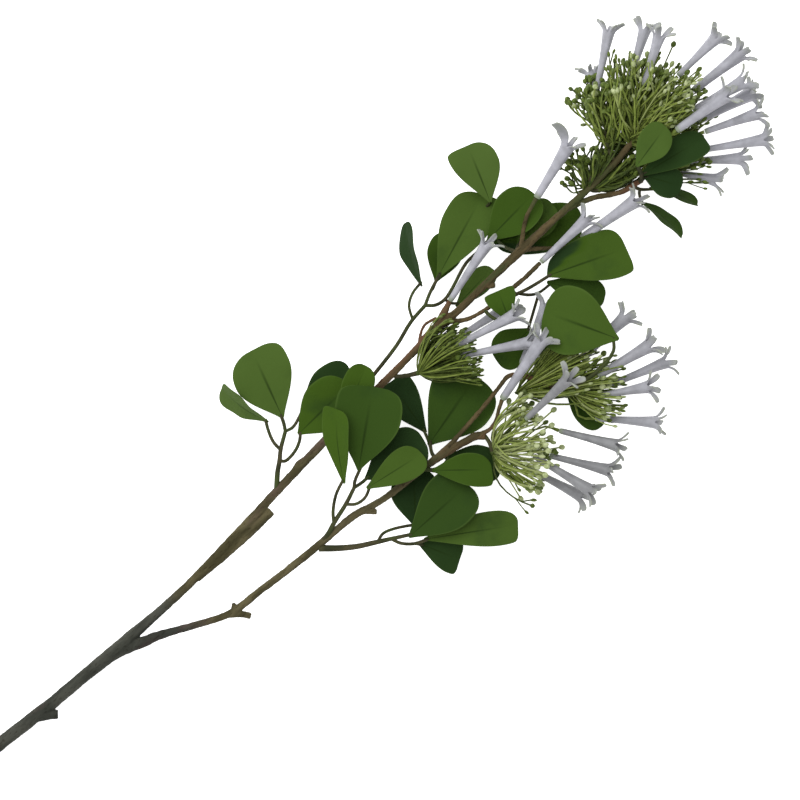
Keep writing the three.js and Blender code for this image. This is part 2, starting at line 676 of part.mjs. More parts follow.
// Umbels: root stalk from the stem to the hub, stalks to flowers, buds at seen places
// and a fan of more stalks: heading, half width, lift, half lift (degrees), lengths, how many
const UMBELS = {
  umbel_h: {
    root: [[403, 6, 31], [410, 0.5, 31], [418, -4, 32]],
    flowers: ['flower_h0', 'flower_h1', 'flower_h2'],
    buds: [[463, 4, 34], [466, -3, 33]],
    fan: [-14, 26, 4, 22, 36, 48, 14],
  },
  umbel_j: {
    root: [[424, -72, 29.5], [423, -79, 29.5], [420, -86, 29]],
    flowers: ['flower_j1', 'flower_j2', 'flower_j3', 'flower_j4', 'flower_j5'],
    buds: [[457, -64, 36], [469, -71, 30], [478, -93, 26], [469, -101, 34], [463, -119, REST_BUD],
      [412, -128, 5], [422, -128, REST_BUD]],
    fan: [-30, 58, 4, 30, 38, 50, 16],
  },
  umbel_i1: {
    root: [[477, -61, 28], [481, -64, 27], [485, -65, 26]],
    flowers: ['flower_i1', 'flower_h4'],
    buds: [[526, -87, 24]],
    fan: [-18, 24, -4, 20, 34, 46, 9],
  },
  umbel_i2: {
    root: [[491, -85, 25], [494, -88, 25], [496, -91, 25]],
    flowers: ['flower_i2', 'flower_i3', 'flower_i4', 'flower_i5'],
    buds: [[534, -86, 28], [532, -91, 22], [509, -124, 18]],
    fan: [-36, 36, 2, 26, 26, 38, 11],
  },
  umbel_t0: {
    root: [[609, 13, 40], [611, 17, 40], [613, 20, 39]],
    flowers: [],
    buds: [[603, 37, 40], [610, 38, 36], [620, 35, 38]],
    fan: [66, 44, 0, 30, 14, 24, 4],
  },
  umbel_t1: {
    root: [[606, 12, 40], [608, 9, 37], [611, 7, 36]],
    flowers: [],
    buds: [],
    fan: [2, 24, -6, 22, 28, 40, 9],
  },
  umbel_t2: {
    root: [[634, 14, 41.5], [637, 26, 40], [645, 37, 38]],
    flowers: ['flower_t1', 'flower_t2', 'flower_t4'],
    buds: [[642, 71, 22], [648, 67, 34], [649, 75, REST_BUD], [668, 74, 26]],
    fan: [48, 40, 2, 28, 28, 38, 11],
  },
  umbel_t3: {
    root: [[654, 17.6, 43], [660, 21, 45], [668, 25, 46]],
    flowers: ['flower_t3', 'flower_f3', 'flower_f4', 'flower_f5', 'flower_f6'],
    buds: [[728, 52, 50], [730, 24, 48], [699, 66, 52]],
    fan: [16, 42, 6, 30, 42, 56, 24],
  },
  umbel_t4: {
    root: [[639, -9, 34], [645, -8, 34], [651, -7, 34]],
    flowers: ['flower_f7', 'flower_f8', 'flower_f9', 'flower_f10', 'flower_f11'],
    buds: [[688, -34, REST_BUD], [716, -10, 30]],
    fan: [-16, 34, -2, 26, 36, 48, 9],
  },
};

// Occupied places, as balls, which a new stalk keeps clear of
const busy = [];

function keep(point, radius) {
  busy.push({ point, radius });
}

function keepBar(points, radii) {
  const curve = new THREE.CatmullRomCurve3(points, false, 'centripetal');
  const steps = Math.ceil(curve.getLength() / NOTE_STEP);
  for (let k = 0; k <= steps; k += 1) {
    const reach = (k / steps) * (points.length - 1);
    const low = Math.min(Math.floor(reach), points.length - 2);
    keep(curve.getPoint(k / steps), THREE.MathUtils.lerp(radii[low], radii[low + 1], reach - low));
  }
}

function keepLeaf(leaf) {
  for (let i = 0; i <= NOTE_ROWS; i += 1) {
    for (let j = -NOTE_SIDES; j <= NOTE_SIDES; j += 1) {
      keep(leafPoint(leaf, i / NOTE_ROWS, j / NOTE_SIDES), NOTE_RADIUS);
    }
  }
}

function keepFlower(name) {
  const { root, along, length } = flowerFrame(name);
  for (let k = 0; k <= NOTE_ROWS; k += 1) {
    const t = k / NOTE_ROWS;
    const radius = THREE.MathUtils.lerp(TUBE_BASE_RADIUS, MOUTH_RADIUS, t * t);
    keep(root.clone().addScaledVector(along, length * t), radius);
  }
  const turn = FLOWERS[name][2];
  const lean = new THREE.Quaternion().setFromUnitVectors(new THREE.Vector3(0, 1, 0), along);
  for (let k = 0; k < LOBES; k += 1) {
    const angle = (turn + (k * 360) / LOBES) * DEGREE;
    const flare = (lobeFlare(turn, k) + LOBE_BEND / 3) * DEGREE;
    for (let j = 1; j <= NOTE_LOBE; j += 1) {
      const reach = (LOBE_LENGTH * j) / NOTE_LOBE;
      const out = LOBE_ROOT_RADIUS + Math.sin(flare) * reach;
      const up = length + Math.cos(flare) * reach;
      const spot = new THREE.Vector3(Math.sin(angle) * out, up, Math.cos(angle) * out);
      keep(spot.applyQuaternion(lean).add(root), NOTE_RADIUS);
    }
  }
}

function isClear(points, radii) {
  return points.every((point, i) => point.z > radii[i] + GAP
    && busy.every((ball) => ball.point.distanceTo(point) > ball.radius + radii[i] + CLEARANCE));
}

// Repeatable random draws
function drawer(seed) {
  let state = seed;
  return () => {
    state = (state * 16807) % 2147483647;
    return state / 2147483647;
  };
}

// Places along a budded stalk, and how wide it is there
const BUD_STEPS = [0.35, 0.5, 0.65, 0.8, 0.9, 1];
const BUD_STEP_RADII = [0.9, 0.9, 0.8, 1.4, BUD_RADIUS, BUD_RADIUS];

function budSamples(hub, end) {
  return BUD_STEPS.map((t) => hub.clone().lerp(end, t));
}

function budStalk(hub, end) {
  const length = hub.distanceTo(end);
  const start = hub.clone().lerp(end, STALK_START / length);
  const neck = hub.clone().lerp(end, 1 - BUD_LENGTH / length);
  const belly = hub.clone().lerp(end, 1 - (BUD_LENGTH * BUD_BELLY_AT) / length);
  const points = [start, neck, belly, end];
  const radii = [STALK_ROOT_RADIUS, STALK_NECK_RADIUS, BUD_RADIUS, BUD_END_RADIUS];
  return bar(points, radii, STALK_SIDES, 1);
}

function flowerStalk(hub, name) {
  const { along } = flowerFrame(name);
  const end = seat(name);
  const reach = hub.distanceTo(end);
  const before = end.clone().addScaledVector(along, -Math.min(reach * 0.4, LONGEST_CALYX));
  const start = hub.clone().lerp(before, STALK_START / hub.distanceTo(before));
  const points = [start, before, end];
  return { points, radii: [STALK_ROOT_RADIUS, FLOWER_STALK_RADIUS, CALYX_RADIUS] };
}

function umbel(name, seed) {
  const { root, flowers, buds, fan } = UMBELS[name];
  const rootPoints = root.map(at);
  const hub = rootPoints[rootPoints.length - 1];
  const bodies = [bar(rootPoints, HUB_STEM_RADII, HUB_STEM_SIDES, 1)];
  const ball = new THREE.IcosahedronGeometry(HUB_RADIUS, 0);
  ball.translate(hub.x, hub.y, hub.z);
  bodies.push(body(ball));
  const grown = [{ points: rootPoints, radii: [...HUB_STEM_RADII.slice(0, 2), HUB_RADIUS] }];
  flowers.forEach((flowerName) => {
    const stalk = flowerStalk(hub, flowerName);
    bodies.push(bar(stalk.points, stalk.radii, STALK_SIDES, 2));
    grown.push(stalk);
  });
  buds.map(at).forEach((end) => {
    bodies.push(budStalk(hub, end));
    grown.push({ points: budSamples(hub, end), radii: BUD_STEP_RADII });
  });
  const [heading, spread, lift, liftSpread, shortest, longest, many] = fan;
  const draw = drawer(seed);
  const ends = buds.map(at);
  let tries = 0;
  let placed = 0;
  while (placed < many && tries < MOST_TRIES) {
    tries += 1;
    const turn = (heading + spread * (2 * draw() - 1)) * DEGREE;
    const rise = (lift + liftSpread * (2 * draw() - 1)) * DEGREE;
    const length = THREE.MathUtils.lerp(shortest, longest, draw());
    const end = new THREE.Vector3(
      hub.x + Math.cos(turn) * Math.cos(rise) * length,
      hub.y + Math.sin(turn) * Math.cos(rise) * length,
      hub.z + Math.sin(rise) * length,
    );
    const samples = budSamples(hub, end);
    const apart = ends.every((other) => other.distanceTo(end) > BUDS_APART);
    if (apart && isClear(samples, BUD_STEP_RADII)) {
      bodies.push(budStalk(hub, end));
      grown.push({ points: samples, radii: BUD_STEP_RADII });
      ends.push(end);
      placed += 1;
    }
  }
  return { bodies, grown };
}

// Everything that stands before the umbels' fans is occupied
[MAIN_STEM, SECOND_STEM, LOWER_BRANCH, ...WOODY_TWIGS].forEach((rows) => {
  keepBar(rows.map(at), rows.map((row) => row[3]));
});
WOODY_FLOWER_STALKS.forEach(([name, rows]) => {
  keepBar([...rows.map(at), seat(name)], [...rows.map((row) => row[3]), SEAT_RADIUS]);
});
Object.values(SPRAYS).forEach(({ twigs, leaves }) => {
  twigs.forEach(([rows, from, to]) => keepBar(rows.map(at), rows.map(() => Math.max(from, to))));
  leaves.forEach(keepLeaf);
});
Object.keys(FLOWERS).forEach(keepFlower);

// A piece that grows from the wood ends a gap away from its surface
function cutFree(solid) {
  return weld(weld(solid, WELDS).subtract(woodAndGap), FINE_WELDS);
}

const group = new THREE.Group();
group.name = 'stephanotis_sprig';
group.add(node('woody_stem', weld(fuse(woodyBodies(0)), FINE_WELDS), BARK));
const woodAndGap = fuse(woodyBodies(GAP));
Object.entries(SPRAYS).forEach(([name, parts]) => {
  group.add(node(name, cutFree(spray(parts)), LEAF));
});
Object.keys(UMBELS).forEach((name, i) => {
  const { bodies, grown } = umbel(name, FIRST_SEED + i * SEED_STEP);
  group.add(node(name, cutFree(fuse(bodies)), UMBEL));
  grown.forEach(({ points, radii }) => keepBar(points, radii));
});
Object.keys(FLOWERS).forEach((name) => {
  group.add(node(name, weld(flower(name), WELDS), PETAL));
});

export default group;
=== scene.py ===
# %% [markdown]
# # A stephanotis sprig that lies on a table
# The real thing is an artificial spray about 80 cm long: a brown forked stem, cloth leaves on thin
# twigs, green bunches of budded stalks and white trumpets with five lobes.
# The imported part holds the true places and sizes. This script loads it and then dresses each piece.

# %% Load the frame
import math
import random

import bmesh
import bpy
import numpy as np
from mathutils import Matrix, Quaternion, Vector, kdtree


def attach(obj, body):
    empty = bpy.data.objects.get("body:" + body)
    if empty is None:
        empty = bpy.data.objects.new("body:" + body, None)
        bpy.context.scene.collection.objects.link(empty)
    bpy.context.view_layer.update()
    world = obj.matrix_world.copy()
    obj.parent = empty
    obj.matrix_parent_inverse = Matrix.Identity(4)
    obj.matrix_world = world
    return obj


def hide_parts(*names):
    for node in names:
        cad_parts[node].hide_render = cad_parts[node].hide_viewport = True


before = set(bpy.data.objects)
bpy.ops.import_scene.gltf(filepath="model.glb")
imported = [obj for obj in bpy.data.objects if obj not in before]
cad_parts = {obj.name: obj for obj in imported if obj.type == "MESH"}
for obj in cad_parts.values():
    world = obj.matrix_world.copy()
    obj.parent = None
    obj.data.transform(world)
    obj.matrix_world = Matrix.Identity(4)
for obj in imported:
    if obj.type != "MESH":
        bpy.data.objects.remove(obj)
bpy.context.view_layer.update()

bpy.ops.object.select_all(action="DESELECT")

# %% [markdown]
# ## Places and the camera
# Every place below was read from straight above, in millimetres along the sprig, as if it lay at one
# reading level. A lens sees what lies higher a little further out, so each place is pulled back
# towards the lens's own foot. The same lens is then used for the camera, which is why the picture
# and the places agree without any fitting.

# %% Places
MM = 0.001
DEGREE = math.pi / 180
LENS = Vector((394.6, -10.1, 2400.0))
READ_LEVEL = 30.0
ORIGIN = Vector((362.0, -31.0, 0.0))


def spot(x, y, z):
    """A place read from above, moved to where it lies at its own height, in metres."""
    pull = (LENS.z - z) / (LENS.z - READ_LEVEL)
    flat = Vector((LENS.x + (x - LENS.x) * pull, LENS.y + (y - LENS.y) * pull, z))
    return (flat - ORIGIN) * MM


print("fork lies at", [round(v, 3) for v in spot(106, -8.5, 10.3)])

# %% Camera
VIEW_WIDTH = 0.600
SENSOR_WIDTH = 36.0
PICTURE_TURN = -42 * DEGREE

lens_spot = (LENS - ORIGIN) * MM
bpy.ops.object.camera_add(location=lens_spot, rotation=(0, 0, PICTURE_TURN))
camera = bpy.context.object
camera.name = "camera_above"
camera.data.sensor_width = SENSOR_WIDTH
camera.data.lens = SENSOR_WIDTH * (LENS.z - READ_LEVEL) * MM / VIEW_WIDTH
camera.data.dof.use_dof = False
bpy.context.scene.camera = camera
print("lens:", round(camera.data.lens, 1), "mm")

# %% [markdown]
# ## Light and floor
# The photo has a shadowless white ground. A pale plane under a bright even sky and one very large
# soft lamp comes close. The plane also glows a little, as a lit table does, which takes the last
# shadows out of it, while the sprig keeps its soft shading.

# %% Light and floor
FLOOR_SIZE = 8.0
FLOOR_DROP = 0.0004
FLOOR_COLOUR = (0.93, 0.93, 0.93, 1.0)
FLOOR_ROUGHNESS = 0.9
FLOOR_GLOW = 0.8
LAMP_PLACE = (-0.05, 1.0, 1.9)
LAMP_SIZE = 1.8
LAMP_POWER = 42.0
SKY_STRENGTH = 0.70
WHITE = (1.0, 1.0, 1.0, 1.0)


def shader_parts(owner):
    """The node tree's nodes and links."""
    owner.use_nodes = True
    return owner.node_tree.nodes, owner.node_tree.links


def paint(code):
    """A colour written as six hexadecimal digits, as linear red, green, blue and one."""
    parts = [int(code[i:i + 2], 16) / 255 for i in (0, 2, 4)]
    linear = [p / 12.92 if p <= 0.04045 else ((p + 0.055) / 1.055) ** 2.4 for p in parts]
    return (*linear, 1.0)


def set_inputs(node, values):
    """Sets inputs of a node to plain values, by their names."""
    for label, value in values.items():
        node.inputs[label].default_value = value


def add_lamp(name, place, power, size):
    """A square soft lamp that looks at the middle of the sprig."""
    turn = (-Vector(place)).to_track_quat("-Z", "Y").to_euler()
    bpy.ops.object.light_add(type="AREA", location=place, rotation=turn)
    lamp = bpy.context.object
    lamp.name = name
    lamp.data.energy = power
    lamp.data.size = size


world = bpy.data.worlds.new("pale_sky")
bpy.context.scene.world = world
nodes, _ = shader_parts(world)
set_inputs(nodes["Background"], {"Color": WHITE, "Strength": SKY_STRENGTH})
bpy.context.scene.view_settings.view_transform = "Standard"

add_lamp("soft_lamp", LAMP_PLACE, LAMP_POWER, LAMP_SIZE)

bpy.ops.mesh.primitive_plane_add(size=FLOOR_SIZE, location=(0, 0, -FLOOR_DROP))
floor = bpy.context.object
floor.name = "floor"
pale = bpy.data.materials.new("pale_floor")
nodes, _ = shader_parts(pale)
set_inputs(nodes["Principled BSDF"], {
    "Base Color": FLOOR_COLOUR, "Roughness": FLOOR_ROUGHNESS,
    "Emission Color": WHITE, "Emission Strength": FLOOR_GLOW,
})
floor.data.materials.append(pale)
print("floor:", FLOOR_SIZE, "m wide")

# %% [markdown]
# ## Effects that several finishes share
# Bark, leaves, stalks and petals all have a colour that wanders, and a fine relief. Each is a small
# node group with its own inputs, so one group serves every finish with other values.

# %% Shared effects


def new_group(name, ins, outs):
    """An empty shader node group with the named sockets."""
    tree = bpy.data.node_groups.new(name, "ShaderNodeTree")
    for label, kind, value in ins:
        socket = tree.interface.new_socket(label, in_out="INPUT", socket_type=kind)
        socket.default_value = value
    for label, kind in outs:
        tree.interface.new_socket(label, in_out="OUTPUT", socket_type=kind)
    return tree, tree.nodes.new("NodeGroupInput"), tree.nodes.new("NodeGroupOutput")


def new_math(nodes, operation):
    """A node that reckons with one, two or three values."""
    node = nodes.new("ShaderNodeMath")
    node.operation = operation
    return node


def new_span(nodes):
    """A node that turns a range of values smoothly into zero to one."""
    node = nodes.new("ShaderNodeMapRange")
    node.interpolation_type = "SMOOTHSTEP"
    return node


def new_mix(nodes, blend="MIX"):
    """A node that mixes two colours."""
    node = nodes.new("ShaderNodeMix")
    node.data_type = "RGBA"
    node.blend_type = blend
    return node


def wire(links, *rows):
    """Each row links a node's output to another node's input."""
    for source, output, target, socket in rows:
        links.new(source.outputs[output], target.inputs[socket])


def mottle_group():
    """Two colours that wander into each other in patches."""
    tree, given, made = new_group(
        "mottle",
        [("Vector", "NodeSocketVector", (0, 0, 0)), ("Size", "NodeSocketFloat", 50.0),
         ("Share", "NodeSocketFloat", 0.5), ("Softness", "NodeSocketFloat", 0.2),
         ("First", "NodeSocketColor", WHITE), ("Second", "NodeSocketColor", WHITE)],
        [("Color", "NodeSocketColor")],
    )
    cloud = tree.nodes.new("ShaderNodeTexNoise")
    cloud.inputs["Detail"].default_value = 4.0
    low = new_math(tree.nodes, "SUBTRACT")
    high = new_math(tree.nodes, "ADD")
    span = new_span(tree.nodes)
    mix = new_mix(tree.nodes)
    wire(
        tree.links,
        (given, "Vector", cloud, "Vector"), (given, "Size", cloud, "Scale"),
        (given, "Share", low, 0), (given, "Softness", low, 1),
        (given, "Share", high, 0), (given, "Softness", high, 1),
        (cloud, "Fac", span, "Value"), (low, 0, span, "From Min"), (high, 0, span, "From Max"),
        (span, "Result", mix, "Factor"), (given, "First", mix, "A"), (given, "Second", mix, "B"),
        (mix, "Result", made, "Color"),
    )
    return tree


def relief_group():
    """A fine relief: coarse and fine unevenness added together."""
    tree, given, made = new_group(
        "relief",
        [("Vector", "NodeSocketVector", (0, 0, 0)), ("Coarse", "NodeSocketFloat", 150.0),
         ("Fine", "NodeSocketFloat", 900.0), ("Fine Share", "NodeSocketFloat", 0.4)],
        [("Height", "NodeSocketFloat")],
    )
    coarse = tree.nodes.new("ShaderNodeTexNoise")
    fine = tree.nodes.new("ShaderNodeTexNoise")
    both = new_math(tree.nodes, "MULTIPLY_ADD")
    wire(
        tree.links,
        (given, "Vector", coarse, "Vector"), (given, "Vector", fine, "Vector"),
        (given, "Coarse", coarse, "Scale"), (given, "Fine", fine, "Scale"),
        (fine, "Fac", both, 0), (given, "Fine Share", both, 1), (coarse, "Fac", both, 2),
        (both, 0, made, "Height"),
    )
    return tree


MOTTLE = mottle_group()
RELIEF = relief_group()
print("groups:", MOTTLE.name, RELIEF.name)

# %% Small helpers for the finishes


def finish(name, roughness, gloss):
    """A new material with its nodes, its links, its shader and the object coordinates."""
    material = bpy.data.materials.new(name)
    nodes, links = shader_parts(material)
    shader = nodes["Principled BSDF"]
    set_inputs(shader, {"Roughness": roughness, "Specular IOR Level": gloss})
    where = nodes.new("ShaderNodeTexCoord").outputs["Object"]
    return material, nodes, links, shader, where


def feed(links, given, socket):
    """Gives a socket a plain value or another node's output."""
    if isinstance(given, (tuple, float)):
        socket.default_value = given
    else:
        links.new(given, socket)


def mottled(nodes, links, where, size, share, softness, first, second):
    """Places the mottle group. First and second are colours or other nodes' outputs."""
    effect = nodes.new("ShaderNodeGroup")
    effect.node_tree = MOTTLE
    links.new(where, effect.inputs["Vector"])
    set_inputs(effect, {"Size": size, "Share": share, "Softness": softness})
    feed(links, first, effect.inputs["First"])
    feed(links, second, effect.inputs["Second"])
    return effect.outputs["Color"]


def relief(nodes, links, shader, where, coarse, fine, fine_share, depth):
    """Places the relief group and a bump on the shader. Depth is in metres."""
    effect = nodes.new("ShaderNodeGroup")
    effect.node_tree = RELIEF
    links.new(where, effect.inputs["Vector"])
    set_inputs(effect, {"Coarse": coarse, "Fine": fine, "Fine Share": fine_share})
    bump = nodes.new("ShaderNodeBump")
    bump.inputs["Distance"].default_value = depth
    wire(links, (effect, "Height", bump, "Height"), (bump, "Normal", shader, "Normal"))


def mask(nodes, links, value, low, high):
    """Zero below low, one above high, smooth between."""
    span = new_span(nodes)
    set_inputs(span, {"From Min": low, "From Max": high})
    links.new(value, span.inputs["Value"])
    return span.outputs["Result"]


def product(nodes, links, first, second):
    """Two values multiplied."""
    both = new_math(nodes, "MULTIPLY")
    feed(links, first, both.inputs[0])
    feed(links, second, both.inputs[1])
    return both.outputs[0]


def mixed(nodes, links, factor, first, second, strength=1.0, blend="MIX"):
    """A mix of two colours by a mask, which strength weakens."""
    weak = product(nodes, links, factor, strength)
    mix = new_mix(nodes, blend)
    links.new(weak, mix.inputs["Factor"])
    feed(links, first, mix.inputs["A"])
    feed(links, second, mix.inputs["B"])
    return mix.outputs["Result"]


def kept_value(nodes, name):
    """A value that the mesh keeps at each of its points."""
    reader = nodes.new("ShaderNodeAttribute")
    reader.attribute_name = name
    return reader.outputs["Fac"]


def size_of(nodes, links, value):
    """A value without its sign."""
    plain = new_math(nodes, "ABSOLUTE")
    links.new(value, plain.inputs[0])
    return plain.outputs[0]


# %% [markdown]
# ## Lines and straight patterns
# Stem, twigs and stalks all follow a smooth line through a few points. Things that repeat, such as
# a budded stalk or a trumpet, are modelled once as a straight pattern. Each copy's points are then
# laid along its own line. The height of a point in the pattern says how far along it lies.

# %% Smooth lines


def between(before, start, end, after, share):
    """A point between start and end on a curve that passes through all four."""
    first = max((start - before).length, 1e-9) ** 0.5
    middle = max((end - start).length, 1e-9) ** 0.5
    last = max((after - end).length, 1e-9) ** 0.5
    leave = (start - before) / first - (end - before) / (first + middle) + (end - start) / middle
    arrive = (end - start) / middle - (after - start) / (middle + last) + (after - end) / last
    leave = leave * middle
    arrive = arrive * middle
    bend = (end - start) * 3 - leave * 2 - arrive
    twist = (start - end) * 2 + leave + arrive
    return start + leave * share + bend * share ** 2 + twist * share ** 3


def smooth_line(points, steps):
    """Points along a smooth curve, with that many steps from each given point to the next."""
    last = len(points) - 1
    line = []
    for k in range(last * steps + 1):
        i = min(k // steps, last - 1)
        start, end = points[i], points[i + 1]
        before = points[i - 1] if i > 0 else start * 2 - end
        after = points[i + 2] if i + 2 <= last else end * 2 - start
        line.append(between(before, start, end, after, k / steps - i))
    return line


def eased(values, steps):
    """Values spread over the same steps as a smooth line."""
    spread = []
    for k in range((len(values) - 1) * steps + 1):
        i = min(k // steps, len(values) - 2)
        spread.append(values[i] + (values[i + 1] - values[i]) * (k / steps - i))
    return spread


def clamped(x):
    """A value kept between zero and one."""
    return min(max(x, 0.0), 1.0)


def smoothstep(low, high, x):
    """Zero at low, one at high, smooth between; low may be the greater one."""
    share = clamped((x - low) / (high - low))
    return share * share * (3 - 2 * share)


def along_frames(line):
    """A sideways and an upward direction at each point, turned as little as possible."""
    frames = []
    side = None
    for i in range(len(line)):
        ahead = (line[min(i + 1, len(line) - 1)] - line[max(i - 1, 0)]).normalized()
        if side is None:
            steep = abs(ahead.z) > 0.9
            side = Vector((1, 0, 0)) if steep else Vector((0, 0, 1)).cross(ahead)
        side = (side - ahead * side.dot(ahead)).normalized()
        frames.append((side.copy(), ahead.cross(side)))
    return frames


CORNER = [Vector((0, 0, 0)), Vector((1, 0, 0)), Vector((1, 1, 0))]
print("a line through three points has", len(smooth_line(CORNER, 4)))

# %% Small helpers for shapes
WELD = 1e-6
SMOOTH_ANGLE = 50 * DEGREE


def keep_values(mesh, name, values):
    """Stores one number for each point of the mesh."""
    layer = mesh.attributes.get(name) or mesh.attributes.new(name, "FLOAT", "POINT")
    layer.data.foreach_set("value", np.array(values, np.float32))


def copy_of(pattern, name):
    """A copy of a pattern with a mesh of its own."""
    made = pattern.copy()
    made.data = pattern.data.copy()
    made.name = name
    made.hide_render = False
    bpy.context.scene.collection.objects.link(made)
    return made


def choose(*things):
    """Selects these objects alone; the first is active."""
    bpy.ops.object.select_all(action="DESELECT")
    for thing in things:
        thing.select_set(True)
    bpy.context.view_layer.objects.active = things[0]


def joined(things, name):
    """One object out of several."""
    choose(*things)
    if len(things) > 1:
        bpy.ops.object.join()
    whole = bpy.context.object
    whole.name = name
    whole.data.name = name
    return whole


def put_away(pattern):
    """Takes a used pattern out of the scene."""
    bpy.data.objects.remove(pattern, do_unlink=True)


def wear(thing, *materials):
    """Gives an object these materials and no others."""
    thing.data.materials.clear()
    for material in materials:
        thing.data.materials.append(material)


def turn_outward(thing, weld=0.0):
    """Turns all faces outward. If weld is given, points closer than that become one first."""
    choose(thing)
    bpy.ops.object.mode_set(mode="EDIT")
    bpy.ops.mesh.select_all(action="SELECT")
    if weld > 0:
        bpy.ops.mesh.remove_doubles(threshold=weld)
    bpy.ops.mesh.normals_make_consistent(inside=False)
    bpy.ops.object.mode_set(mode="OBJECT")


def tubes(name, bars, sides):
    """Round closed tubes along smooth lines, as one mesh. A bar is a line and its radii."""
    bpy.ops.curve.primitive_nurbs_path_add(location=(0, 0, 0))
    curve = bpy.context.object
    curve.data.splines.clear()
    curve.data.dimensions = "3D"
    curve.data.twist_mode = "MINIMUM"
    curve.data.bevel_depth = 1.0
    curve.data.bevel_resolution = (sides - 4) // 2
    curve.data.use_fill_caps = True
    for line, radii in bars:
        spline = curve.data.splines.new("POLY")
        spline.points.add(len(line) - 1)
        for point, place, radius in zip(spline.points, line, radii):
            point.co = (*place, 1.0)
            point.radius = radius
    choose(curve)
    bpy.ops.object.convert(target="MESH")
    made = bpy.context.object
    made.name = name
    turn_outward(made, WELD)
    return made


def apply_modifiers(thing):
    """Applies every modifier of an object, in order."""
    choose(thing)
    for modifier in list(thing.modifiers):
        bpy.ops.object.modifier_apply(modifier=modifier.name)


def thicken(sheet, thickness, offset, underside=0):
    """Gives a sheet its thickness, then smooths it. Its underside may wear a later material."""
    wall = sheet.modifiers.new("wall", "SOLIDIFY")
    wall.thickness = thickness
    wall.offset = offset
    wall.material_offset = underside
    soft = sheet.modifiers.new("soft", "SUBSURF")
    soft.levels = 1
    soft.render_levels = 1
    apply_modifiers(sheet)


def settle(piece, slot_name, *nodes):
    """Smooth shading, the body it rides on, and hides the CAD nodes it stands for. slot_name is not used."""
    choose(piece)
    bpy.ops.object.shade_smooth_by_angle(angle=SMOOTH_ANGLE)
    bpy.ops.object.select_all(action="DESELECT")
    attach(piece, "root")
    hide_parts(*nodes)
    return len(piece.data.polygons)


# %% [markdown]
# ## Finishes
# Bark: dark grey with mauve patches at the low end, olive brown in the middle, and a warmer brown
# with green and red-brown patches above. The lower branch starts nearly black.
# Leaf: matte dyed cloth, a little uneven, with a duller underside, painted lit or in shade leaf by leaf,
# with painted shade along the pressed middle crease and a painted highlight along the rim.
# Stalk: painted shade, dark olive, deep in the bunch and painted light, yellow-green, on top of it,
# with a pale painted highlight on the lightest; pale at the bud, painted lit or in shade with its stalk.
# Petal: grey-white cloth with a lilac shade, greenish where the trumpet starts and along lobe edges.

# %% Bark
LOW_END = -0.212
MIDDLE = -0.175
UPPER = -0.04
HIGH_END = 0.06
# The first stretch of the lower branch is nearly black up to here, and this far from the main stem
DARK_BRANCH_END = -0.2
DARK_BRANCH_FADE = 0.01
DARK_BRANCH_SIDE = (0.021, 0.014)
# Bark patches are drawn out along the stem
BARK_STREAK = (0.3, 1.0, 1.0)


def bark_finish():
    """Moulded bark, with a colour of its own at the low end, in the middle and above."""
    material, nodes, links, shader, where = finish("bark", 0.82, 0.12)
    apart = nodes.new("ShaderNodeSeparateXYZ")
    links.new(where, apart.inputs[0])
    off_low_end = mask(nodes, links, apart.outputs["X"], LOW_END, MIDDLE)
    upward = mask(nodes, links, apart.outputs["X"], UPPER, HIGH_END)
    drawn = nodes.new("ShaderNodeMapping")
    drawn.inputs["Scale"].default_value = BARK_STREAK
    links.new(where, drawn.inputs["Vector"])
    streaked = drawn.outputs["Vector"]
    low = mottled(nodes, links, streaked, 120.0, 0.5, 0.12, paint("30322c"), paint("42433c"))
    low = mottled(nodes, links, streaked, 34.0, 0.6, 0.05, low, paint("4a3a38"))
    middle = mottled(nodes, links, streaked, 130.0, 0.5, 0.12, paint("3e3a25"), paint("575139"))
    middle = mottled(nodes, links, streaked, 42.0, 0.63, 0.07, middle, paint("54463c"))
    high = mottled(nodes, links, streaked, 150.0, 0.5, 0.12, paint("413a25"), paint("574a32"))
    high = mottled(nodes, links, streaked, 50.0, 0.58, 0.08, high, paint("3d4226"))
    high = mottled(nodes, links, streaked, 24.0, 0.57, 0.06, high, paint("5c4230"))
    colour = mixed(nodes, links, off_low_end, low, middle)
    colour = mixed(nodes, links, upward, colour, high)
    fade_end = DARK_BRANCH_END - DARK_BRANCH_FADE
    before_bend = mask(nodes, links, apart.outputs["X"], DARK_BRANCH_END, fade_end)
    below_stem = mask(nodes, links, apart.outputs["Y"], *DARK_BRANCH_SIDE)
    dark_branch = product(nodes, links, before_bend, below_stem)
    colour = mixed(nodes, links, dark_branch, colour, paint("2b2d28"), 0.75)
    specks = mottled(nodes, links, streaked, 900.0, 0.62, 0.05, WHITE, paint("b8aca0"))
    colour = mixed(nodes, links, 1.0, colour, specks, 0.7, "MULTIPLY")
    links.new(colour, shader.inputs["Base Color"])
    relief(nodes, links, shader, streaked, 500.0, 1800.0, 0.5, 0.0005)
    return material


def twig_finish():
    """Dark wrapped wire with brown and green patches."""
    material, nodes, links, shader, where = finish("twig", 0.75, 0.12)
    colour = mottled(nodes, links, where, 110.0, 0.5, 0.15, paint("2c2e1c"), paint("433f2b"))
    colour = mottled(nodes, links, where, 40.0, 0.55, 0.1, colour, paint("3a4323"))
    links.new(colour, shader.inputs["Base Color"])
    relief(nodes, links, shader, where, 600.0, 2000.0, 0.4, 0.0003)
    return material


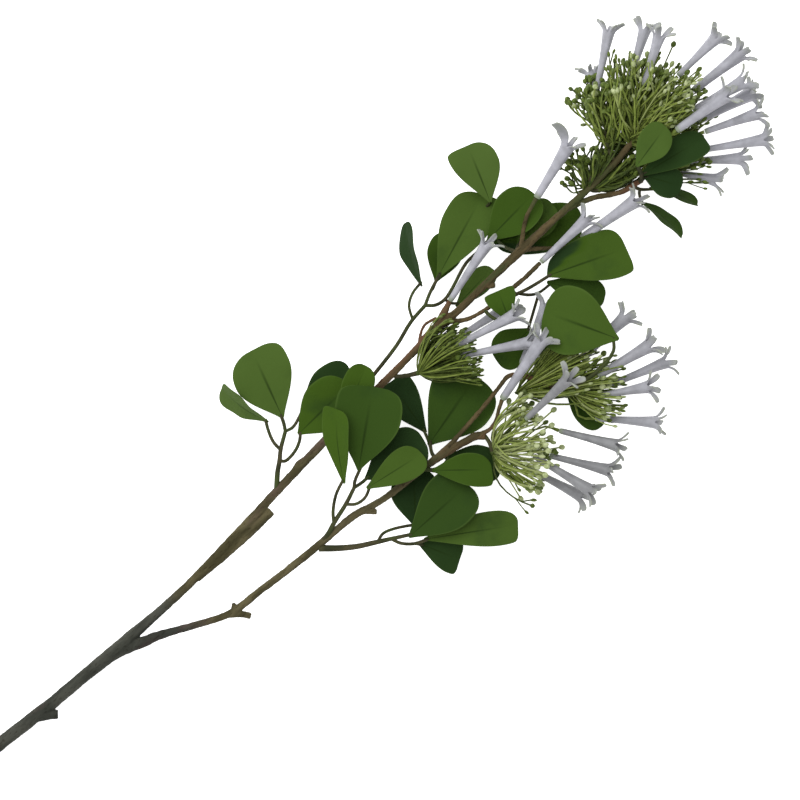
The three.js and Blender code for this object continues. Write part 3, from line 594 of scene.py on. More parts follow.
# %% Leaf cloth
def leaf_finish(name, light_and_shade_colours, roughness):
    """Dyed cloth, painted lit or in shade by each leaf's tone; colours: shaded, middle, lit, crease shade.
    """
    shaded, middle, light, crease = (paint(colour_code) for colour_code in light_and_shade_colours)
    material, nodes, links, shader, where = finish(name, roughness, 0.03)
    across = size_of(nodes, links, kept_value(nodes, "across"))
    tone = kept_value(nodes, "tone")
    # The tone paints the leaf lit or in shade: shaded, middle and lit colours
    colour = mixed(nodes, links, mask(nodes, links, tone, 0.0, 0.55), shaded, middle)
    colour = mixed(nodes, links, mask(nodes, links, tone, 0.5, 1.0), colour, light)
    colour = mottled(nodes, links, where, 30.0, 0.74, 0.22, colour, shaded)
    # Painted shade along the middle crease, in the lower part of the leaf
    near_middle = mask(nodes, links, across, 0.075, 0.0)
    low_part = mask(nodes, links, kept_value(nodes, "along"), 0.95, 0.35)
    colour = mixed(nodes, links, product(nodes, links, near_middle, low_part), colour, crease, 0.85)
    # A painted highlight along the rim, in the lit colour
    rim = mask(nodes, links, across, 0.93, 1.0)
    colour = mixed(nodes, links, rim, colour, light, 0.4)
    links.new(colour, shader.inputs["Base Color"])
    relief(nodes, links, shader, where, 260.0, 1600.0, 0.35, 0.0002)
    return material


# %% Stalks and buds
def stalk_finish():
    """Painted wire. Each stalk's tone paints it, from shaded dark olive to lit yellow-green."""
    material, nodes, links, shader, where = finish("stalk", 0.6, 0.2)
    reach = kept_value(nodes, "reach")
    tone = kept_value(nodes, "tone")
    dark = mottled(nodes, links, where, 200.0, 0.5, 0.2, paint("29350f"), paint("3f4d18"))
    pale = mottled(nodes, links, where, 200.0, 0.5, 0.2, paint("6a7b2c"), paint("879448"))
    # The tone paints the shaft: shaded dark olive low in the bunch, lit yellow-green on top
    shaft = mixed(nodes, links, mask(nodes, links, tone, 0.0, 0.9), dark, pale)
    # A pale painted highlight on the lightest stalks
    shaft = mixed(nodes, links, mask(nodes, links, tone, 0.7, 1.0), shaft, paint("888f62"), 0.7)
    pale_bud = mottled(nodes, links, where, 420.0, 0.5, 0.2, paint("939f6b"), paint("afb78c"))
    dark_bud = mottled(nodes, links, where, 420.0, 0.5, 0.2, paint("3f4f1a"), paint("5a6a28"))
    # Buds are paler than the shaft, and painted lit or in shade with their stalk's tone
    bud = mixed(nodes, links, mask(nodes, links, tone, 0.4, 0.95), dark_bud, pale_bud)
    root = mask(nodes, links, reach, 0.25, 0.0)
    colour = mixed(nodes, links, root, shaft, paint("3a4716"), 0.7)
    colour = mixed(nodes, links, mask(nodes, links, reach, 1.0, 1.3), colour, bud)
    links.new(colour, shader.inputs["Base Color"])
    relief(nodes, links, shader, where, 700.0, 2500.0, 0.3, 0.0002)
    return material


# %% Petals
def petal_finish():
    """Pale cloth. Each flower keeps its own tone, from a darker plain grey to a lighter lilac."""
    material, nodes, links, shader, where = finish("petal", 0.55, 0.3)
    reach = kept_value(nodes, "reach")
    edge = size_of(nodes, links, kept_value(nodes, "across"))
    lilac = mottled(nodes, links, where, 140.0, 0.5, 0.25, paint("a8a8b1"), paint("93939a"))
    grey = mottled(nodes, links, where, 140.0, 0.5, 0.25, paint("7f8081"), paint("6e6e70"))
    white = mixed(nodes, links, kept_value(nodes, "tone"), grey, lilac)
    foot = mixed(nodes, links, mask(nodes, links, reach, 0.0, 0.12), paint("7d8772"), white)
    lobe = mixed(nodes, links, mask(nodes, links, reach, 1.0, 1.9), foot, paint("90938f"))
    rim = mask(nodes, links, edge, 0.7, 1.0)
    past_mouth = mask(nodes, links, reach, 1.1, 1.6)
    colour = mixed(nodes, links, product(nodes, links, rim, past_mouth), lobe, paint("8f957c"), 0.55)
    links.new(colour, shader.inputs["Base Color"])
    relief(nodes, links, shader, where, 300.0, 1500.0, 0.3, 0.0002)
    return material


BARK = bark_finish()
TWIG = twig_finish()
LEAF_TOP = leaf_finish("leaf_top", ("213419", "374e15", "465a29", "1d2d0d"), 0.7)
LEAF_UNDER = leaf_finish("leaf_under", ("1b2c16", "2c441d", "425b28", "19280f"), 0.8)
STALK = stalk_finish()
PETAL = petal_finish()
print("finishes:", [m.name for m in (BARK, TWIG, LEAF_TOP, LEAF_UNDER, STALK, PETAL)])

# %% [markdown]
# ## The woody stem
# On the real spray this is wire under moulded bark: a main stem, a lower branch that forks off near
# the cut end, a second stem that runs alongside and is cut, knots, stubs and thin woody stalks.
# Tubes alone would look like pipes. They are joined into one skin by a fine voxel remesh, which
# rounds the forks, and two clouds push the skin in and out as bark does.

# %% Woody stem: the lines
# Each row: x, y, height, radius
MAIN_STEM = [
    (-34, 1, 4.9, 4.9), (0, -1, 5.6, 4.8), (30, -3.2, 6.5, 4.75), (50, -4.5, 7.2, 4.5),
    (80, -5.5, 8.5, 4.5), (100, -6.5, 9.8, 5), (115, -7.5, 11, 5.4), (130, -6.8, 12.3, 4.2),
    (150, -7.2, 13.8, 3.3), (180, -7, 16, 3), (200, -6, 17.5, 3.1), (220, -4.5, 19, 3.4),
    (240, -3, 20.5, 3.5), (260, -1.2, 22, 3.3), (270, 0, 22.8, 3), (300, 2.5, 25, 3),
    (335, 5, 27.5, 3), (365, 6.5, 29.5, 2.8), (395, 8, 31, 2.5), (430, 10, 33, 2.5),
    (450, 12, 34, 3.5), (470, 10.5, 35, 2.6), (500, 11.5, 36, 2.5), (537, 12.6, 37.6, 3.2),
    (570, 13, 39, 2.4), (600, 13, 40, 2.4), (625, 13.8, 41, 2.3), (640, 15, 42, 2.3),
    (655, 18, 43, 2),
]
SECOND_STEM = [
    (192, -8, 16.3, 2.4), (220, -8.3, 18, 3.2), (240, -8.3, 19.5, 3.5), (255, -7.9, 20.5, 3.4),
    (267, -7.6, 21.3, 3.2),
]
LOWER_BRANCH = [
    (106, -8.5, 10.3, 3.6), (120, -12, 11, 4.1), (130, -16, 12, 3.9), (140, -19.5, 12.8, 3.3),
    (150, -24, 13.5, 2.8), (170, -34, 14.7, 2.4), (190, -43, 16, 2.5), (200, -45, 16.5, 2.8),
    (220, -46.2, 17.8, 2.5), (245, -48.3, 19.3, 2.6), (273, -50, 21, 2.8), (290, -50.5, 22, 2.4),
    (312, -51.5, 23.5, 2.7), (325, -55, 24, 2.4), (340, -57.5, 25, 2.3), (375, -60, 27, 2.4),
    (392, -62.5, 28, 2.4), (410, -66, 29, 2.6), (419, -68.5, 29.5, 2.9), (424, -73, 29.5, 2.6),
]
WOODY_TWIGS = [
    [(372, -59.5, 27, 2), (400, -60, 29, 1.6), (420, -58, 30, 1.5), (440, -55.5, 31, 1.4),
     (455, -53, 31.5, 1.4), (468, -51.5, 31, 1.5), (477, -61, 28, 1.6), (484, -74, 27, 1.6),
     (491, -86, 25, 1.8)],
    [(33, -4, 6.6, 4.2), (40, -8, 6.4, 4), (46, -13.5, 6, 3.2)],
    [(197, -43.5, 16.5, 2), (200, -40, 17, 1.3)],
    [(192, -44, 16, 2.5), (198, -49, 15.6, 2.3), (203, -55.5, 15, 2.1)],
    [(318, -53, 23.7, 2.2), (325.5, -60.5, 22.5, 1.8)],
    [(300, 3, 25, 2.6), (306, 4.4, 25.5, 2.9), (312, 4, 26, 2.5)],
    [(501, 9.5, 36, 2.2), (505, 6.2, 35.5, 1.8)],
    [(432, 10.5, 33, 0.9), (438, 15.5, 33.3, 0.9), (446, 19.3, 33.8, 0.9), (456, 17.5, 34.3, 1.1)],
    [(585, 12, 39, 2), (603, 6, 37, 1.9), (622, -5, 35, 1.8), (640, -9, 34, 1.8)],
]
# Flowers: base and mouth of each trumpet, then the turn of its lobes in degrees
FLOWERS = {
    "g1": [(572, 34, 48), (615, 47, 57), 20],
    "g2": [(472, 20, 36.5), (520, 33, 51), 10],
    "g3": [(542, -4, 35), (588, -3, 39), 0],
    "g4": [(577, -11, 28), (625, -17, 45), 0],
    "h0": [(455, -4, 24), (503, -12, 21), 40],
    "h1": [(453, -8, 40), (500, -20, 55), 15],
    "h2": [(449, -15, 38), (494, -42, 41), 10],
    "h3": [(452, -61, 41), (503, -48, 58), 25],
    "h4": [(480, -51, 24), (523, -31, 30), 0],
    "j1": [(455, -84, 48), (498, -83, 72), 12],
    "j2": [(468, -107, 28), (492, -143, 38), 60],
    "j3": [(450, -116, 22), (475, -153, 30), 35],
    "j4": [(441, -108, 36), (455, -155, 44), 5],
    "j5": [(431, -110, 20), (447, -154, 20), 45],
    "i1": [(515, -78, 24), (561, -77, 26), 18],
    "i2": [(517, -96, 32), (560, -105, 38), 40],
    "i3": [(516, -106, 20), (561, -122, 22), 10],
    "i4": [(508, -108, 30), (539, -127, 40), 55],
    "i5": [(494, -118, 18), (525, -150, 20), 30],
    "t1": [(660, 64, 34), (695, 90, 40), 22],
    "t2": [(653, 52, 25), (665, 76, 21), 0],
    "t3": [(688, 43, 58), (721, 62, 66), 48],
    "t4": [(680, 51, 40), (716, 73, 44), 12],
    "f3": [(712, 31, 52), (751, 33, 56), 33],
    "f4": [(713, 15, 40), (757, 12, 42), 5],
    "f5": [(703, 4, 50), (745, -5, 53), 52],
    "f6": [(684, 1.5, 60), (729, -4, 74), 28],
    "f7": [(700, -4, 36), (742, -15, 33), 44],
    "f8": [(699, -13.5, 46), (736, -29, 52), 15],
    "f9": [(688, -22, 36), (727, -47, 38), 36],
    "f10": [(672, -19, 25), (705, -46, 23), 8],
    "f11": [(663, -22, 21), (680, -45, 24), 50],
}
SEAT_GAP = 0.3 * MM
SEAT_RADIUS = 1.5 * MM
WOODY_FLOWER_STALKS = [
    ("g1", [(538, 13, 38, 1.8), (546, 20.5, 42, 1.4), (557, 28.5, 46, 1.2)]),
    ("g2", [(452, 12, 34.2, 3.2), (462, 16, 35.2, 2.6)]),
    ("g3", [(461, 9, 34, 1.8), (472, 1.5, 33, 1.5), (490, -3, 33, 1.3), (508, -4, 34, 1.4),
            (526, -4.6, 34.4, 1.5)]),
    ("g4", [(538, 12, 37.5, 1.7), (547, 5.5, 32, 1.3), (557, -3, 25.5, 1.2), (567, -9.5, 25, 1.2)]),
    ("h3", [(422, -69.5, 29.8, 1.6), (430, -71.5, 32, 1.3), (438, -69.5, 35, 1.2),
            (445, -65, 38.5, 1.2)]),
]


def flower_line(name):
    """Where a flower starts, which way it points and how long its trumpet is."""
    base, mouth, _ = FLOWERS[name]
    root = spot(*base)
    reach = spot(*mouth) - root
    return root, reach.normalized(), reach.length


def seat(name):
    """The point a hair before a flower's base, where its stalk ends."""
    root, ahead, _ = flower_line(name)
    return root - ahead * SEAT_GAP


print("flowers:", len(FLOWERS))

# %% Woody stem: one skin
WOOD_STEPS = 5
WOOD_SIDES = 12
WOOD_VOXEL = 0.68 * MM
BARK_CLOUD = 5.0 * MM
BARK_DEPTH = 0.75 * MM
# Where the push turns from inward to outward
BARK_LEVEL = 0.2
BARK_FINE_CLOUD = 1.6 * MM
BARK_FINE_DEPTH = 0.35 * MM
CALM_SHARE = 0.5
CALM_ROUNDS = 2


def wood_bar(rows):
    """The line and the radii of one stretch of wood."""
    line = smooth_line([spot(*row[:3]) for row in rows], WOOD_STEPS)
    return line, eased([row[3] * MM for row in rows], WOOD_STEPS)


def cloud(name, size):
    """A cloud texture made in code, for displacement."""
    texture = bpy.data.textures.new(name, "CLOUDS")
    texture.noise_scale = size
    texture.noise_depth = 2
    return texture


def displace(thing, name, size, depth):
    """Pushes the skin in and out by a cloud."""
    push = thing.modifiers.new(name, "DISPLACE")
    push.texture = cloud(name, size)
    push.texture_coords = "LOCAL"
    push.strength = depth
    push.mid_level = BARK_LEVEL


def woody_stem():
    """All the wood as one skin, with the stalks of five flowers."""
    bars = [wood_bar(rows) for rows in (MAIN_STEM, SECOND_STEM, LOWER_BRANCH, *WOODY_TWIGS)]
    for name, rows in WOODY_FLOWER_STALKS:
        line = smooth_line([*(spot(*row[:3]) for row in rows), seat(name)], WOOD_STEPS)
        bars.append((line, eased([*(row[3] * MM for row in rows), SEAT_RADIUS], WOOD_STEPS)))
    stem = tubes("stem_bark", bars, WOOD_SIDES)
    skin = stem.modifiers.new("skin", "REMESH")
    skin.mode = "VOXEL"
    skin.voxel_size = WOOD_VOXEL
    calm = stem.modifiers.new("calm", "SMOOTH")
    calm.factor = CALM_SHARE
    calm.iterations = CALM_ROUNDS
    displace(stem, "bark_folds", BARK_CLOUD, BARK_DEPTH)
    displace(stem, "bark_grain", BARK_FINE_CLOUD, BARK_FINE_DEPTH)
    apply_modifiers(stem)
    wear(stem, BARK)
    return stem


stem = woody_stem()
print("stem faces:", settle(stem, "bark", "woody_stem"))

# %% [markdown]
# ## Leaves and their twigs
# Each leaf is a piece of dyed cloth: a wedge at the twig, widest past the middle, with a broad round
# end, pressed along the middle so that it folds a little. One flat sheet is modelled with fine
# squares. Each copy is laid in place by the same rule that the part uses, then gets its thickness
# and is smoothed. Rows close in on the tip as on a blunt circle, so that the end comes out round.
# Some leaves have corners there, and two are fuller near the twig on their shaded side.

# %% Leaf sprays: twigs and leaves
# A twig: its points, then the radius at both ends. A leaf: base, tip, width, roll in degrees
# (its right side up) and how far along it is widest.
SPRAYS = {
    "a": {
        "twigs": [
            ([(281, 2, 24), (290, 11, 26), (297, 16.5, 27), (303, 22, 28), (315, 30, 29)], 1.9, 1.3),
            ([(303, 22, 28), (303, 30, 28), (305.5, 38, 28), (310, 47, 28)], 1.2, 1.1),
            ([(315, 30, 29), (318, 35, 30), (321, 42, 31)], 1.2, 1.2),
            ([(315, 30, 29), (321, 28.5, 27), (330, 31, 23), (341, 36, 20)], 1.1, 1.1),
            ([(297, 16.5, 27), (300, 13.5, 27), (310, 14, 27), (318, 17.5, 27), (323, 22, 27)], 1.2, 1.1),
        ],
        "leaves": [
            ((310, 46, 28), (301, 86, 28), 32, 62, 0.7),
            ((321, 41, 31), (337, 92, 35), 46, 0, 0.62),
            ((341, 36, 20), (382, 32, 18), 29, 0, 0.55),
            ((323, 22, 27), (374, 24, 33), 40, 0, 0.6),
        ],
    },
    "b": {
        "twigs": [
            ([(281, -50, 22), (288, -48.5, 24), (296, -45.5, 27), (312, -41, 32), (325, -36, 36)], 1.9, 1.3),
            ([(296, -45.5, 27), (301, -39, 31), (311, -31, 38), (323, -26, 46)], 1.2, 1.1),
            ([(325, -36, 36), (329, -32.5, 40), (339, -28, 46)], 1.2, 1.1),
            ([(325, -36, 36), (332, -37, 34), (339, -37, 32)], 1.2, 1.1),
            ([(312, -41, 32), (318, -46, 35), (326, -47, 38), (335, -43, 41)], 1.1, 1.1),
            ([(338.5, -28.3, 45.6), (345, -20, 41), (352, -4, 38), (355, 8, 38)], 1.05, 1),
        ],
        "leaves": [
            ((323, -27, 46), (354.5, 17, 58), 25, 38, 0.6),
            ((338, -27, 46), (386, 11, 51), 51, 0, 0.6),
            ((338, -37, 32), (388, -44, 31), 38, 0, 0.6),
            ((334, -43, 41), (380, -51, 43), 26, 0, 0.74),
            ((354, 8, 38), (393, 26, 41), 24, 0, 0.66),
        ],
    },
    "c": {
        "twigs": [
            ([(374, -61, 27), (377, -65, 31), (380, -69, 36)], 1.7, 1.2),
            ([(377, -65, 31), (384, -68, 24), (393, -67, 15)], 1.2, 1.1),
        ],
        "leaves": [
            ((379, -67, 36), (411, -95, 38), 26, 0, 0.62),
            ((392, -66, 15), (417, -98, 14), 28, 0, 0.6),
        ],
    },
    "o": {
        "twigs": [
            ([(385, -61, 27.6), (386, -55, 23), (391, -48, 18)], 1.4, 1.1),
            ([(386, -55, 23), (390, -47, 15), (393, -38, 9)], 1.1, 1),
        ],
        "leaves": [
            ((390, -49, 18), (449, -35, 17), 54, 0, 0.62),
            ((393, -39, 9), (398, 5, 9), 30, 0, 0.66),
        ],
    },
    "d": {
        "twigs": [
            ([(275, -52, 21), (285, -61, 21.5), (297, -70, 22), (311, -78, 23), (320, -83, 24),
              (334, -91, 27)], 2.4, 1.2),
            ([(311, -78, 23), (318, -76, 20), (327, -79, 16), (342, -88, 13)], 1.1, 1.1),
            ([(320, -83, 24), (323, -90, 23), (330, -97, 22), (341, -102, 21)], 1.2, 1.1),
            ([(329, -96, 22), (332, -99, 17), (335, -103, 12)], 1.1, 1),
        ],
        "leaves": [
            ((341, -87, 13), (367, -56, 12), 36, 0, 0.62),
            ((333, -91, 27), (390, -91, 29), 43, 0, 0.64),
            ((340, -101, 21), (398, -138.8, 17), 27.5, 0, 0.66),
            ((334, -101, 12), (348, -129, 8), 26, 0, 0.7),
        ],
    },
    "e": {
        "twigs": [
            ([(345, 6, 27), (365, 12, 27.4), (386, 16, 28.4), (420, 22, 30), (440, 28, 31),
              (456, 30, 31)], 1.4, 1.3),
            ([(442, 28.4, 31), (447, 38, 32), (455, 43, 32), (466, 45, 32)], 1, 1),
            ([(456, 30, 31), (466, 35, 31), (480, 40, 31)], 1.2, 1.1),
            ([(466, 35, 31), (470, 36, 26), (477, 40, 22)], 1.1, 1),
            ([(456, 30, 31), (462, 25, 30), (470, 23.5, 29), (480, 26, 28.5), (500, 33, 27.5),
              (513, 33.5, 29), (527, 35, 37)], 1.2, 1.1),
            ([(480, 40, 31), (486, 43, 26), (510, 50, 25), (536, 54, 29), (544, 55, 38),
              (545, 58, 43)], 1.1, 1),
            ([(470, 23.5, 29), (472, 18, 22), (476, 14, 18)], 1.1, 1),
        ],
        "leaves": [
            ((465, 44, 32), (487, 86, 32), 27, 65, 0.62),
            ((479, 40, 30), (544, 63, 31), 38, 0, 0.62),
            ((476, 39, 22), (506, 57, 21), 27, 0, 0.6),
            ((526, 35, 37), (573, 38, 39), 35, 0, 0.62),
            ((545, 57, 43), (560, 98, 45), 36, 0, 0.62),
            ((475, 14, 18), (512, 17, 19), 19, 0, 0.66),
        ],
    },
    "k": {
        "twigs": [
            ([(536, 12, 37.5), (534, 14, 31), (537, 16, 27), (542, 18, 25)], 1.6, 1.1),
            ([(534, 14, 31), (530, 22, 21), (529, 30, 12)], 1.2, 1),
        ],
        "leaves": [
            ((541, 18, 25), (578, 22, 25), 26, 0, 0.62),
            ((528, 30, 12), (586, -1, 11), 37, 0, 0.55),
        ],
    },
    "g": {
        "twigs": [
            ([(505, -4, 34), (508, -8, 32.5), (514, -10, 31), (523, -12.5, 30), (542, -16, 28)], 1.4, 1.1),
            ([(514, -10, 31), (519, -16, 26), (526, -20, 18.5), (538, -21, 18.5)], 1.1, 1),
            ([(526, -20, 18.5), (513, -28, 15), (500, -36, 14)], 1, 1),
        ],
        "leaves": [
            ((541, -16, 28), (597, -39, 29), 39, 0, 0.64),
            ((537, -20, 19), (560, -56, 16), 25, 0, 0.64),
            ((501, -36, 14), (468, -37, 13), 30, 0, 0.6),
        ],
    },
    "m": {
        "twigs": [
            ([(487, -2.6, 33), (487, -8, 38), (490, -16, 42), (497, -20, 43.5)], 1.3, 1.1),
        ],
        "leaves": [
            ((496, -19, 43.5), (504, 1.5, 41), 24, 0, 0.5),
        ],
    },
    "i": {
        "twigs": [
            ([(483, -73, 27), (482, -76, 20), (479, -74, 12)], 1.4, 1),
            ([(482, -76, 20), (488, -84, 12), (492, -92, 9)], 1.1, 1),
        ],
        "leaves": [
            ((477, -70, 12), (523, -60, 10), 30, 0, 0.6),
            ((492, -91, 9), (492, -126, 8), 19, 0, 0.6),
        ],
    },
    "l": {
        "twigs": [
            ([(486, -77, 27), (496, -88, 37), (518, -93, 42), (538, -90, 44), (545, -82, 45)], 1.5, 1.1),
        ],
        "leaves": [
            ((546, -84, 45), (519, -33, 46), 52, 0, 0.68),
        ],
    },
    "n": {
        "twigs": [
            ([(638, -8.6, 34), (640, -8, 42), (643, -4, 50), (644, 0, 57), (648, 3, 61)], 1.6, 1.2),
            ([(641, -6.5, 44), (643, -6, 45), (647, -7, 45.8)], 1.2, 1.1),
            ([(640, -8, 40), (643, -9, 41), (646, -12, 41)], 1.2, 1.1),
        ],
        "leaves": [
            ((646, 2, 60.5), (680, 9, 63), 25, 0, 0.6),
            ((644, -6.5, 45.5), (696, -16.5, 50), 24, 0, 0.64),
            ((644, -9, 41), (658.5, -32.5, 38), 24, 0, 0.6),
        ],
    },
    "p": {
        "twigs": [
            ([(632, -7, 34.5), (634, -13, 28), (642, -20, 25)], 1.3, 1),
            ([(634, -13, 28), (631, -16, 20), (628, -23, 15)], 1.1, 1),
        ],
        "leaves": [
            ((641, -19, 25), (658, -51, 20), 22, 62, 0.7),
            ((628, -22, 15), (633, -61, 14), 24, 62, 0.6),
        ],
    },
}
print("leaves:", sum(len(parts["leaves"]) for parts in SPRAYS.values()))

# %% The flat leaf
LEAF_ROWS = 18
LEAF_COLUMNS = 10


def flat_leaf():
    """A flat sheet of squares, two units long and wide. Across is its x and along is its y."""
    bpy.ops.mesh.primitive_grid_add(x_subdivisions=LEAF_COLUMNS, y_subdivisions=LEAF_ROWS, size=2)
    sheet = bpy.context.object
    sheet.name = "flat_leaf"
    wear(sheet, LEAF_TOP, LEAF_UNDER)
    keep_values(sheet.data, "across", [v.co.x for v in sheet.data.vertices])
    return sheet


LEAF_PATTERN = flat_leaf()
print("flat leaf faces:", len(LEAF_PATTERN.data.polygons))

# %% Laying a leaf in place
LEAF_THICKNESS = 0.6 * MM
LEAF_ROOT = 2.5 * MM
LEAF_ROOT_HALF = 1.0 * MM
LEAF_FOLD = 0.16
LEAF_ARCH = 2.5 * MM
LEAF_TIP_TURN = 76 * DEGREE
LEAF_RIM_WAVE = 0.9 * MM
# Each leaf draws how many waves run along its rim, and how far its end curls, in millimetres
LEAF_WAVES = (1.2, 2.2)
LEAF_CURL = (-1.0, 1.4)
FULL_TURN = 6.28
# Above one, the sides run straighter from the twig; above two, the far end is blunter than a circle
LEAF_WEDGE = 1.15
LEAF_BLUNT = 2.5
# How much further one side of the far end may reach, as a share of the leaf
LEAF_LOPSIDED = 0.07
# A corner at the far end is blunter still, and its side is widest nearer the end
LEAF_SQUARE = 6.0
LEAF_CORNER_AT = 0.86
# How marked the corners at the far end are, left and right, for the leaves that have one
LEAF_CORNERS = {
    ("a", 0): (0.4, 0.4), ("a", 1): (0, 0.3), ("b", 0): (0.8, 0.3), ("b", 1): (0.5, 0.2),
    ("c", 0): (0, 0.7), ("d", 1): (0.6, 0), ("d", 2): (0, 0.9), ("d", 3): (0.5, 0.8),
    ("e", 1): (0.2, 0.6), ("e", 4): (1.1, 0), ("g", 0): (0.2, 0.9), ("k", 1): (0, 0.9),
    ("m", 0): (1, 1), ("n", 1): (0, 0.6), ("o", 0): (0.7, 0.1), ("o", 1): (0.8, 0.8),
}
# Leaves that are fuller and in the shade near the twig on one side: 1 is the left side, -1 the right
LEAF_FULL_SIDES = {("g", 0): 1, ("k", 1): -1}
LEAF_FULL_WEDGE = 0.5
# Where that shade fades in, as a share of the usual half width, and out, as a share of the length
SHADE_ACROSS = (0.5, 0.85)
SHADE_ALONG = (0.62, 0.42)


def leaf_outline(share, half, widest, blunt=LEAF_BLUNT, wedge=LEAF_WEDGE):
    """How far along a row lies, how wide it is and how much its middle runs ahead."""
    if share < widest:
        growth = math.sin(math.pi / 2 * (share / widest) ** wedge)
        return share, LEAF_ROOT_HALF + (half - LEAF_ROOT_HALF) * growth, 0.0
    past = (share - widest) / (1 - widest)
    turn = past * LEAF_TIP_TURN
    far = math.sin(turn) ** (2 / blunt)
    return widest + (1 - widest) * far, half * math.cos(turn) ** (2 / blunt), past ** 2


def leaf_axes(leaf):
    """Where a leaf starts, which ways lie ahead, left and above, and how long it is."""
    base, tip, _, roll, _ = leaf
    root = spot(*base)
    ahead = spot(*tip) - root
    length = ahead.length
    ahead.normalize()
    left = Vector((0, 0, 1)).cross(ahead).normalized()
    left.rotate(Quaternion(ahead, -roll * DEGREE))
    return root, ahead, left, ahead.cross(left), length


def on_leaf(axes, along, aside, rise):
    """The point at a share along a leaf, that far to its left and above it."""
    root, ahead, left, above, length = axes
    return root + ahead * (-LEAF_ROOT + (length + LEAF_ROOT) * along) + left * aside + above * rise


def leaf_fold(along, aside):
    """How high the fold and the arch lift a point of a leaf."""
    return LEAF_FOLD * abs(aside) + LEAF_ARCH * math.sin(math.pi * along)


def flat_to_leaf(across, share, half, widest, corners, full_side):
    """A point of the flat sheet as a share along, a width aside and a share of shade."""
    squared = smoothstep(0, 0.8, abs(across)) * corners[0 if across > 0 else 1]
    blunt = LEAF_BLUNT + (LEAF_SQUARE - LEAF_BLUNT) * squared
    widest += (LEAF_CORNER_AT - widest) * squared
    full = smoothstep(0, 0.3, across * full_side)
    wedge = LEAF_WEDGE + (LEAF_FULL_WEDGE - LEAF_WEDGE) * full
    along, wide, bulge = leaf_outline(share, half, widest, blunt, wedge)
    usual = leaf_outline(share, half, widest, blunt)[1]
    shade = full * smoothstep(*SHADE_ACROSS, wide * abs(across) / usual)
    shade *= smoothstep(*SHADE_ALONG, along)
    aside = wide * across
    if bulge > 0:
        from_middle = min(abs(aside) / half, 1) ** blunt
        ahead_most = widest + (1 - widest) * (1 - from_middle) ** (1 / blunt)
        along += (ahead_most - along) * bulge
    return along, aside, shade


def lay_leaf(leaf, name, tone, corners, full_side, chance):
    """One leaf: a copy of the flat sheet, laid from its base to its tip."""
    axes = leaf_axes(leaf)
    _, _, width, _, widest = leaf
    half = width / 2 * MM
    made = copy_of(LEAF_PATTERN, name)
    phase = chance.uniform(0, FULL_TURN)
    waves = chance.uniform(*LEAF_WAVES)
    curl = chance.uniform(*LEAF_CURL) * MM
    lopsided = chance.uniform(-LEAF_LOPSIDED, LEAF_LOPSIDED)
    alongs, tones = [], []
    for vertex in made.data.vertices:
        across, share = -vertex.co.x, (vertex.co.y + 1) / 2
        along, aside, shade = flat_to_leaf(across, share, half, widest, corners, full_side)
        wave = math.sin(phase + waves * FULL_TURN * along) * min(along * 2, 1)
        rise = leaf_fold(along, aside) + LEAF_RIM_WAVE * across ** 2 * wave
        rise += curl * across ** 2 * along ** 3
        alongs.append(along)
        tones.append(tone * (1 - shade))
        vertex.co = on_leaf(axes, along + lopsided * aside / half * along ** 2, aside, rise)
    keep_values(made.data, "along", alongs)
    keep_values(made.data, "tone", tones)
    return made


# %% Building the sprays
TWIG_STEPS = 4
TWIG_SIDES = 8
TWIG_FULLNESS = 1.12
LEAF_SEED = 40
# How lit each leaf is painted, leaf by leaf: 0 painted in shade, 1 painted lit
LEAF_LIGHTING = {
    "a": [0.9, 0.8, 0.1, 0.55],
    "b": [0.55, 0.3, 0.05, 0.7, 0.5],
    "c": [0.4, 0.1],
    "o": [0.3, 0.0],
    "d": [0.0, 0.25, 0.75, 0.1],
    "e": [0.0, 0.75, 0.4, 0.4, 0.85, 0.8],
    "k": [0.72, 0.4],
    "g": [0.65, 0.3, 0.4],
    "m": [0.45],
    "i": [0.4, 0.3],
    "l": [0.7],
    "n": [0.8, 0.12, 0.05],
    "p": [0.3, 0.3],
}


def twig_bar(twig):
    """The line and the radii of a twig, which thins evenly."""
    rows, start, end = twig
    line = smooth_line([spot(*row) for row in rows], TWIG_STEPS)
    last = len(line) - 1
    radii = [(start + (end - start) * i / last) * TWIG_FULLNESS * MM for i in range(len(line))]
    return line, radii


def leaf_spray(letter, seed):
    """One twig with its leaves."""
    chance = random.Random(seed)
    parts = SPRAYS[letter]
    leaves = []
    for place, (leaf, tone) in enumerate(zip(parts["leaves"], LEAF_LIGHTING[letter])):
        corners = LEAF_CORNERS.get((letter, place), (0, 0))
        full_side = LEAF_FULL_SIDES.get((letter, place), 0)
        leaves.append(lay_leaf(leaf, f"leaf_{letter}", tone, corners, full_side, chance))
        thicken(leaves[-1], LEAF_THICKNESS, 0.0, underside=1)
    twigs = tubes(f"twigs_{letter}", [twig_bar(twig) for twig in parts["twigs"]], TWIG_SIDES)
    wear(twigs, TWIG)
    return joined([*leaves, twigs], f"spray_{letter}")


faces = 0
for number, letter in enumerate(SPRAYS):
    spray = leaf_spray(letter, LEAF_SEED + number)
    faces += settle(spray, "leaf", f"leaf_spray_{letter}")
put_away(LEAF_PATTERN)
print("sprays:", len(SPRAYS), "faces:", faces)

# %% [markdown]
# ## Trumpet flowers
# A real one is a thin moulded tube, narrow at the stalk, that widens to a mouth and splits into five
# narrow lobes, which spread and bend back. One straight flower is modelled: an open cylinder whose
# top edge is drawn out five times, lobe by lobe. Each copy's points are then carried onto the
# trumpet's own axis, with every lobe bent by its own amount.

# %% The straight flower
LOBES = 5
LOBE_EDGES = 6
AROUND = LOBES * LOBE_EDGES
TUBE_ROWS = 8
LOBE_ROWS = 7
# How far off the rim a point may lie and still count as on it
RIM_REACH = 0.001


